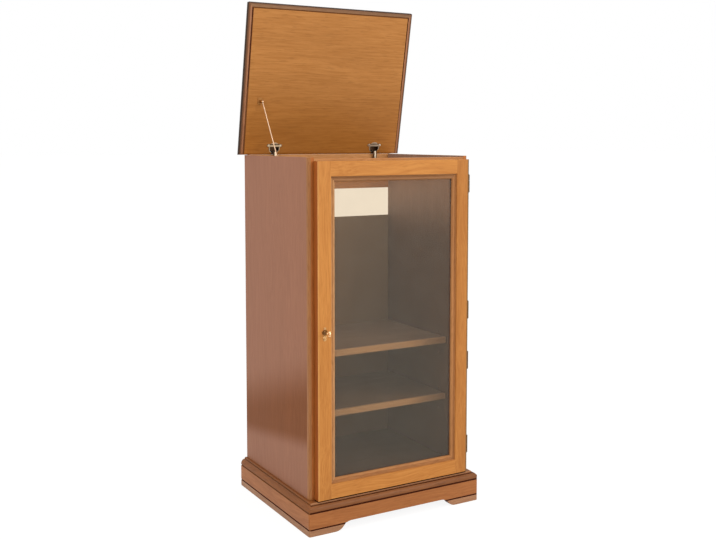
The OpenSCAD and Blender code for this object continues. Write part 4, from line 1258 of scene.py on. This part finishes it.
@dataclass
class LidHinges:
    """Two concealed cup hinges: cups in the lid, cranked arms on the back rail."""

    shop: Workshop
    metal_edge_mm: float = 0.25
    arm_mm: float = 12.0
    # width of the painted highlight down the middle of each arm's front
    lit_strip_mm: float = 4.4
    # the edges of the line of painted shade in each flange, from the flange's front edge on the closed lid
    shade_line_mm: Span = (4.4, 7.4)
    # faces of the line lie less deep than the first, those inside a cup deeper than the second
    shade_line_deep_mm: float = 0.1
    inside_mm: float = 2.2
    # places of the screws: from the hinge's middle, and from the edges of flange, plate and arm
    flange_screw_mm: float = 20.0
    flange_screw_in_mm: float = 9.0
    wing_screw_mm: float = 12.0
    wing_screw_in_mm: float = 1.0
    wing_screw_down_mm: float = 27.0
    setting_screws_mm: Span = (13.5, 26.5)
    cup_screw: Screw = Screw(head_mm=6.5)
    wing_screw: Screw = Screw(head_mm=5.5)
    setting_screw: Screw = Screw(head_mm=6.0, proud_mm=0.8)

    def build(self) -> None:
        """Dresses the hinges and adds their screws."""
        shop = self.shop
        self.cups()
        self.arms()
        shop.softened("lid_hinge_plates", self.metal_edge_mm, shop.common(HINGE_STEEL))
        shop.dress("lid_hinge_pins", shop.common(PIN_STEEL))
        self.screws()

    def arms(self) -> None:
        """Dresses the arms: painted shade on their plate, with a painted highlight in a strip down the
        middle of their fronts.
        """
        shop = self.shop
        half = self.lit_strip_mm / 2 * MM
        centres = self.centres()

        def lit_strip(centre: Vector, normal: Vector) -> bool:
            """Tells whether a face lies on the strip of painted highlight."""
            return abs(normal.x) < TOWARD and min(abs(centre.x - x) for x in centres) < half

        def shape(work: Mesh) -> None:
            """Parts the arms' fronts along the strip of painted highlight."""
            for x in centres:
                parted(work, x - half, x + half)

        patches = (Patch(shop.common(HINGE_STEEL), lit_strip),)
        shop.softened("lid_hinge_arms", self.metal_edge_mm, shop.common(SHADED_STEEL), patches, None, shape)

    def cups(self) -> None:
        """Dresses the cups: painted shade inside them and along a line in their flanges."""
        shop = self.shop
        turn = shop.lid_turn()
        back = turn.inverted()
        low, _ = shop.closed_box("lid_cups")
        start, end = (low.y + place * MM for place in self.shade_line_mm)
        shade_line_depth = low.z + self.shade_line_deep_mm * MM
        inside = low.z + self.inside_mm * MM

        def dark(centre: Vector, normal: Vector) -> bool:
            """Tells whether a face lies inside a cup or on the line of painted shade."""
            spot = back @ centre
            return spot.z > inside or (start < spot.y < end and spot.z < shade_line_depth)

        def shape(work: Mesh) -> None:
            """Parts the flanges along the line of painted shade."""
            for across in (start, end):
                sliced(work, turn @ Vector((0, across, low.z)), turn.to_3x3() @ BACKWARD)

        patches = (Patch(shop.common(SHADED_STEEL), dark),)
        shop.softened("lid_cups", self.metal_edge_mm, shop.common(HINGE_STEEL), patches, None, shape)

    def centres(self) -> list[float]:
        """Gives the X of the middle of each hinge, from the arms."""
        low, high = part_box("lid_hinge_arms")
        return [low.x + self.arm_mm / 2 * MM, high.x - self.arm_mm / 2 * MM]

    def screws(self) -> None:
        """Adds the screws of the cup flanges and those of the plates and arms."""
        shop = self.shop
        cup_low, _ = shop.closed_box("lid_cups")
        arm_low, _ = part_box("lid_hinge_arms")
        plate_low, plate_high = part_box("lid_hinge_plates")
        wing_y = plate_low.y + self.wing_screw_in_mm * MM
        wing_z = plate_high.z - self.wing_screw_down_mm * MM
        in_lid = []
        on_rail = []
        for x in self.centres():
            for side in Side:
                reach = x + side.value * self.flange_screw_mm * MM
                spot = Vector((reach, cup_low.y + self.flange_screw_in_mm * MM, cup_low.z))
                in_lid.append((self.cup_screw, shop.lid_turn() @ facing(spot, DOWNWARD)))
                spot = Vector((x + side.value * self.wing_screw_mm * MM, wing_y, wing_z))
                on_rail.append((self.wing_screw, facing(spot, FORWARD)))
            for height in self.setting_screws_mm:
                spot = Vector((x, arm_low.y, arm_low.z + height * MM))
                on_rail.append((self.setting_screw, facing(spot, FORWARD)))
        shop.screws("lid_cup_screws", in_lid, "lid", SCREW_STEEL, "hinge_steel")
        shop.screws("lid_plate_screws", on_rail, "carcass", SCREW_STEEL, "hinge_steel")


@dataclass
class Stay:
    """Brass rod that slides through a swivelling guide and holds the lid."""

    shop: Workshop
    edge_mm: float = 0.3
    knob_teeth: int = 28
    tooth_mm: float = 0.35
    knob_mm: float = 6.0
    # the dish in the knob's face, and its stem
    dish_rim_mm: float = 0.7
    dish_mm: float = 0.4
    stem_mm: float = 3.0
    stem_sides: int = 24
    # the base's three screws: radius of their circle, their angles in radians, and the base's face
    base_screw_mm: float = 8.6
    base_turns: tuple[float, ...] = (0.5, 2.6, 4.7)
    base_face_mm: float = 2.0
    # the bracket's screws: from its left edge and its middle, and its face from its top
    bracket_in_mm: float = 3.5
    bracket_screw_mm: float = 6.0
    bracket_face_mm: float = 2.0
    screw: Screw = Screw(head_mm=4.2)

    def build(self) -> None:
        """Dresses the stay and turns a knurled knob for it."""
        shop = self.shop
        shop.softened("stay_rod", self.edge_mm, shop.common(ROD_BRASS))
        for node in ("stay_bracket", "stay_stop", "stay_base", "stay_guide"):
            shop.softened(node, self.edge_mm, shop.common(STAY_BRASS))
        self.knob()
        self.screws()

    def knob(self) -> None:
        """Makes the knurled thumb screw that brakes the rod."""
        low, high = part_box("stay_knob")
        radius = (high.y - low.y) / 2
        middle = (low + high) / 2
        length = self.knob_mm * MM
        tooth = self.tooth_mm * MM
        level = Matrix.Rotation(math.pi / 2, 4, "Y")
        work = bmesh.new()
        barrel = {"segments": self.knob_teeth * 2, "depth": length, "matrix": level}
        mean = radius - self.tooth_mm * MM / 2
        bmesh.ops.create_cone(work, cap_ends=True, radius1=mean, radius2=mean, **barrel)
        for cap in [face for face in work.faces if len(face.verts) > 4]:
            rim = self.dish_rim_mm * MM
            bmesh.ops.inset_region(work, faces=[cap], thickness=rim, depth=self.dish_mm * MM)
        for vert in work.verts:
            flat = Vector((0, vert.co.y, vert.co.z))
            if flat.length > radius - tooth:
                turn = round(math.atan2(flat.z, flat.y) / (math.pi / self.knob_teeth))
                reach = radius - (tooth if turn % 2 else 0)
                vert.co = Vector((vert.co.x, 0, 0)) + flat.normalized() * reach
        behind = Matrix.Translation((-(high.x - low.x) / 2, 0, 0)) @ level
        stem = {"segments": self.stem_sides, "depth": high.x - low.x - length, "matrix": behind}
        half = self.stem_mm / 2 * MM
        bmesh.ops.create_cone(work, cap_ends=True, radius1=half, radius2=half, **stem)
        bmesh.ops.translate(work, verts=work.verts, vec=(high.x - length / 2, middle.y, middle.z))
        knob = self.shop.piece(
            "stay_knob_knurled", work, "stay_guide_body", self.shop.common(STAY_BRASS), "stay_brass"
        )
        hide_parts("stay_knob")

    def screws(self) -> None:
        """Adds the screws of the base on the panel and of the bracket in the lid."""
        shop = self.shop
        low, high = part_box("stay_base")
        middle = (low + high) / 2
        on_panel = []
        for turn in self.base_turns:
            around = Vector((0, math.cos(turn), math.sin(turn))) * (self.base_screw_mm * MM)
            spot = Vector((low.x + self.base_face_mm * MM, middle.y, middle.z)) + around
            on_panel.append((self.screw, facing(spot, RIGHTWARD)))
        shop.screws("stay_base_screws", on_panel, "carcass", STAY_BRASS, "stay_brass")
        plate_low, plate_high = shop.closed_box("stay_bracket")
        in_lid = []
        for side in Side:
            along = (plate_low.y + plate_high.y) / 2 + side.value * self.bracket_screw_mm * MM
            face = plate_high.z - self.bracket_face_mm * MM
            spot = Vector((plate_low.x + self.bracket_in_mm * MM, along, face))
            in_lid.append((self.screw, shop.lid_turn() @ facing(spot, DOWNWARD)))
        shop.screws("stay_bracket_screws", in_lid, "lid", STAY_BRASS, "stay_brass")


@dataclass
class Door:
    """Framed glass door with mitred beads and strips behind the glass."""

    shop: Workshop
    frame_edge_mm: float = 1.2
    bead_edge_mm: float = 0.4
    # width of the painted highlight and shade along the stiles' outer front edges
    painted_edge_mm: float = 4.5
    # edges of the joint of stile and rail lie at most this far inside the opening
    joint_end_mm: float = 0.1

    def build(self) -> None:
        """Dresses the frame, the beads, the strips and the glass."""
        self.stiles_and_rails()
        self.beads()
        self.shop.dress("door_glass", self.shop.common(GLASS))

    def stiles_and_rails(self) -> None:
        """Dresses the frame, whose stiles and rails meet flush."""
        shop = self.shop
        low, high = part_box("door_bead_left")
        inside = self.joint_end_mm * MM

        def joint(middle: Vector) -> bool:
            """Tells whether an edge lies in the joint of a stile and a rail."""
            beside = abs(abs(middle.x) + low.x) < TOUCH_MM * MM
            return beside and not low.z + inside < middle.z < high.z - inside

        stile_low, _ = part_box("door_stile_left")
        painted_edge_x = -stile_low.x - self.painted_edge_mm * MM

        def shape(work: Mesh) -> None:
            """Parts the stiles where the rails meet them and where the painted light and shade of their
            outer edges start.

            Args:
                work: The copy of a stile.
            """
            for height in (low.z, high.z):
                sliced(work, Vector((0, 0, height)), UPWARD)
            parted(work, -painted_edge_x, painted_edge_x)

        def outer_side(centre: Vector, normal: Vector) -> bool:
            """Tells whether a face is a stile's outer side."""
            return abs(normal.x) > STRAIGHT and abs(centre.x) > painted_edge_x

        def outer_front(centre: Vector, normal: Vector) -> bool:
            """Tells whether a face is the outer edge of a stile's front, painted lighter on the left stile
            and darker on the right.
            """
            return normal.y < -STRAIGHT and abs(centre.x) > painted_edge_x

        side_wood = Patch(shop.wood(DOOR_SIDE_WOOD, Grain.UPRIGHT), outer_side)
        # painted highlight on the left stile's outer front edge, painted shade on the right stile's
        edge_highlight = Patch(shop.wood(EDGE_HIGHLIGHT_WOOD, Grain.UPRIGHT), outer_front)
        shaded = Patch(shop.wood(SHADED_EDGE_WOOD, Grain.UPRIGHT), outer_front)
        for node, finish, grain, patches in (
            ("door_stile_left", DOOR_WOOD, Grain.UPRIGHT, (side_wood, edge_highlight)),
            ("door_stile_right", SHADED_STILE_WOOD, Grain.UPRIGHT, (side_wood, shaded)),
            ("door_rail_top", DOOR_WOOD, Grain.ACROSS, ()),
            ("door_rail_bottom", DOOR_WOOD, Grain.ACROSS, ()),
        ):
            work = shape if grain is Grain.UPRIGHT else None
            shop.softened(node, self.frame_edge_mm, shop.wood(finish, grain), patches, joint, work)

    def beads(self) -> None:
        """Dresses the beads and the strips behind the glass."""
        shop = self.shop
        for node, grain, finish in (
            ("door_bead_left", Grain.UPRIGHT, LIT_BEAD_WOOD),
            ("door_bead_right", Grain.UPRIGHT, BEAD_WOOD),
            ("door_bead_top", Grain.ACROSS, DARK_BEAD_WOOD),
            ("door_bead_bottom", Grain.ACROSS, BEAD_WOOD),
        ):
            shop.softened(node, self.bead_edge_mm, shop.wood(finish, grain))
        shop.softened("door_glass_stops", self.bead_edge_mm, shop.wood(STOP_WOOD, Grain.UPRIGHT))


@dataclass
class DoorHinges:
    """Bronzed hinges whose leaves wrap round the right panel's front."""

    shop: Workshop
    edge_mm: float = 0.25
    # leaves further apart than this belong to different hinges
    apart_mm: float = 40.0
    # screws: behind the strip's front, on the door leaf's face, in front of its back edge, and the
    # steps up and down from the hinge's middle
    wrap_in_mm: float = 20.0
    leaf_face_mm: float = 1.8
    leaf_in_mm: float = 9.0
    frame_steps_mm: tuple[float, ...] = (-17, 0, 17)
    door_steps_mm: tuple[float, ...] = (-18, 18)
    screw: Screw = Screw(head_mm=5.0)

    def build(self) -> None:
        """Dresses the leaves and pins and adds the screws."""
        shop = self.shop
        for node in ("hinge_frame_leaves", "hinge_door_leaves", "hinge_pins"):
            shop.softened(node, self.edge_mm, shop.common(HINGE_BRONZE))
        frame_low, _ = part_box("hinge_frame_leaves")
        door_low, door_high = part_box("hinge_door_leaves")
        edge_low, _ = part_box("edge_right")
        wrap_y = edge_low.y + self.wrap_in_mm * MM
        leaf_x = door_low.x + self.leaf_face_mm * MM
        leaf_y = door_high.y - self.leaf_in_mm * MM
        on_panel = []
        on_door = []
        for height in self.heights():
            for step in self.frame_steps_mm:
                spot = Vector((frame_low.x, wrap_y, height + step * MM))
                on_panel.append((self.screw, facing(spot, LEFTWARD)))
            for step in self.door_steps_mm:
                spot = Vector((leaf_x, leaf_y, height + step * MM))
                on_door.append((self.screw, facing(spot, RIGHTWARD)))
        shop.screws("hinge_frame_screws", on_panel, "carcass", HINGE_BRONZE, "hinge_bronze")
        shop.screws("hinge_door_screws", on_door, "door", HINGE_BRONZE, "hinge_bronze")

    def heights(self) -> list[float]:
        """Reads the hinges' places from the gaps between the door's leaves.

        Returns:
            The height of each hinge's middle.
        """
        mesh = self.shop.frame["nodes"]["hinge_door_leaves"].data
        levels = sorted({round(vert.co.z, 5) for vert in mesh.vertices})
        groups: list[list[float]] = []
        for level in levels:
            if groups and level - groups[-1][-1] < self.apart_mm * MM:
                groups[-1].append(level)
            else:
                groups.append([level])
        return [(group[0] + group[-1]) / 2 for group in groups]


@dataclass
class Lock:
    """Brass lock with its keyhole plate, key and catch."""

    shop: Workshop
    edge_mm: float = 0.3
    # the plate's two pins: their width, their rise against it, and from the plate's top and foot
    pin_mm: float = 2.0
    pin_dome: float = 0.5
    pin_down_mm: float = 3.2
    pin_up_mm: float = 3.6
    # the catch's screws: on its face, from its back edge and from its middle
    catch_face_mm: float = 1.6
    catch_in_mm: float = 9.0
    catch_step_mm: float = 8.0
    catch_screw: Screw = Screw(head_mm=4.5)

    def build(self) -> None:
        """Dresses the lock and adds the plate's pins and the catch's screws."""
        shop = self.shop
        for node, finish in (
            ("lock_plate", LOCK_BRASS),
            ("lock_tongue", LOCK_BRASS),
            ("lock_striker", LOCK_BRASS),
            ("lock_barrel", BARREL_BRASS),
            ("lock_plug", BARREL_BRASS),
            ("lock_key", KEY_BRASS),
        ):
            shop.softened(node, self.edge_mm, shop.common(finish))
        low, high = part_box("lock_plate")
        dome = Matrix.Diagonal((1, self.pin_dome, 1, 1))
        pins = bmesh.new()
        for height in (high.z - self.pin_down_mm * MM, low.z + self.pin_up_mm * MM):
            place = Matrix.Translation(((low.x + high.x) / 2, low.y, height)) @ dome
            radius = self.pin_mm / 2 * MM
            bmesh.ops.create_uvsphere(pins, u_segments=16, v_segments=8, radius=radius, matrix=place)
        shop.piece("lock_plate_pins", pins, "door", shop.common(LOCK_BRASS), "lock_brass")
        low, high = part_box("lock_striker")
        screws = []
        for side in Side:
            level = (low.z + high.z) / 2 + side.value * self.catch_step_mm * MM
            spot = Vector((low.x + self.catch_face_mm * MM, high.y - self.catch_in_mm * MM, level))
            screws.append((self.catch_screw, facing(spot, RIGHTWARD)))
        shop.screws("lock_catch_screws", screws, "carcass", LOCK_BRASS, "lock_brass")


@dataclass
class Studio:
    """Pale floor, soft light and the photograph's camera."""

    focal_px: float = 975.0
    centre_y_px: float = 212.1
    eye_mm: tuple[float, float, float] = (-1465.2, -2558.6, 1093.6)
    turn_deg: float = 29.862
    tilt_deg: float = 4.328
    sensor_mm: float = 36.0
    # how far the camera sees
    sight_m: float = 200.0
    sky: float = 0.7
    floor_m: float = 60.0
    floor_white: float = 1.1
    floor_share: float = 0.82
    # the floor's dust: its colours, and its specks for each metre
    floor_tones: tuple[str, str] = ("#e9e7e4", "#eeece9")
    floor_specks: float = 40.0

    def build(self) -> None:
        """Sets up everything that isn't part of the cabinet."""
        self.camera()
        self.world()
        self.floor()
        self.lamps()
        bpy.context.scene.view_settings.view_transform = "Standard"

    def camera(self) -> None:
        """Places the camera as solved from the cabinet's straight edges in the photograph."""
        data = bpy.data.cameras.new("photo_camera")
        data.sensor_width = self.sensor_mm
        data.lens = self.focal_px / PHOTO_W * self.sensor_mm
        data.shift_y = (self.centre_y_px - PHOTO_H / 2) / PHOTO_W
        data.clip_end = self.sight_m
        camera = added("photo_camera", data)
        camera.location = Vector(self.eye_mm) * MM
        camera.rotation_euler = (math.pi / 2 - math.radians(self.tilt_deg), 0, -math.radians(self.turn_deg))
        bpy.context.scene.camera = camera

    def seen(self, tree: Tree) -> Socket:
        """Tells rays that show the background from rays that light the cabinet.

        Args:
            tree: The world's or the floor's node tree.

        Returns:
            One for the camera, for gloss and through glass, otherwise nought.
        """
        path = put(tree, "ShaderNodeLightPath").outputs
        seen = path["Is Camera Ray"]
        for other in ("Is Transmission Ray", "Is Glossy Ray"):
            seen = counted(tree, "MAXIMUM", seen, path[other])
        return seen

    def world(self) -> None:
        """Lights from all round, and shows white to the camera, to metal and through glass."""
        world = bpy.data.worlds.new("studio")
        bpy.context.scene.world = world
        world.use_nodes = True
        tree = world.node_tree
        tree.nodes.clear()
        strength = ranged(tree, self.seen(tree), (0.0, 1.0), (self.sky, 1.0))
        glow = put(tree, "ShaderNodeBackground", {"Color": (1, 1, 1, 1), "Strength": strength})
        put(tree, "ShaderNodeOutputWorld", {"Surface": glow.outputs[0]})

    def floor(self) -> None:
        """Lays a pale floor that keeps a faint shadow."""
        work = bmesh.new()
        bmesh.ops.create_grid(work, x_segments=1, y_segments=1, size=self.floor_m)
        mesh = bpy.data.meshes.new("studio_floor")
        work.to_mesh(mesh)
        work.free()
        material, tree, spot = blank("matt_white_floor")
        tone = mixed(tree, noise(tree, spot, self.floor_specks, 2.0), *self.floor_tones)
        share = counted(tree, "MULTIPLY", self.seen(tree), self.floor_share)
        matt = put(tree, "ShaderNodeBsdfDiffuse", {"Color": tone})
        white = put(tree, "ShaderNodeEmission", {"Color": (1, 1, 1, 1), "Strength": self.floor_white})
        both = put(tree, "ShaderNodeMixShader", {0: share, 1: matt.outputs[0], 2: white.outputs[0]})
        put(tree, "ShaderNodeOutputMaterial", {"Surface": both.outputs[0]})
        mesh.materials.append(material)
        floor = added("studio_floor", mesh)

    def lamps(self) -> None:
        """Hangs a large soft lamp in front, a weaker one overhead and one at the left."""
        for name, place, aim, size, power in (
            ("front_softbox", (1.6, -3.3, 2.2), (0, 0, 0.7), 2.0, 54.0),
            ("top_softbox", (-0.4, -0.6, 4.2), (0, 0, 1.0), 2.0, 24.0),
            ("side_softbox", (-2.3, -0.8, 2.0), (0.1, 0, 0.9), 1.4, 16.0),
        ):
            data = bpy.data.lights.new(name, "AREA")
            data.shape = "SQUARE"
            data.size = size
            data.energy = power
            lamp = added(name, data)
            lamp.location = place
            lamp.rotation_euler = (Vector(aim) - Vector(place)).to_track_quat("-Z", "Y").to_euler()


def main() -> None:
    """Builds the cabinet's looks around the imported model."""
    logging.basicConfig(level=logging.INFO, format="%(name)s: %(message)s")
    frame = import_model()
    shop = Workshop(frame)
    Studio().build()
    for part in (Plinth, Carcass, Lid, LidHinges, Stay, Door, DoorHinges, Lock):
        part(shop).build()
        LOG.info("%s is finished", part.__name__)


if __name__ == "__main__":
    main()
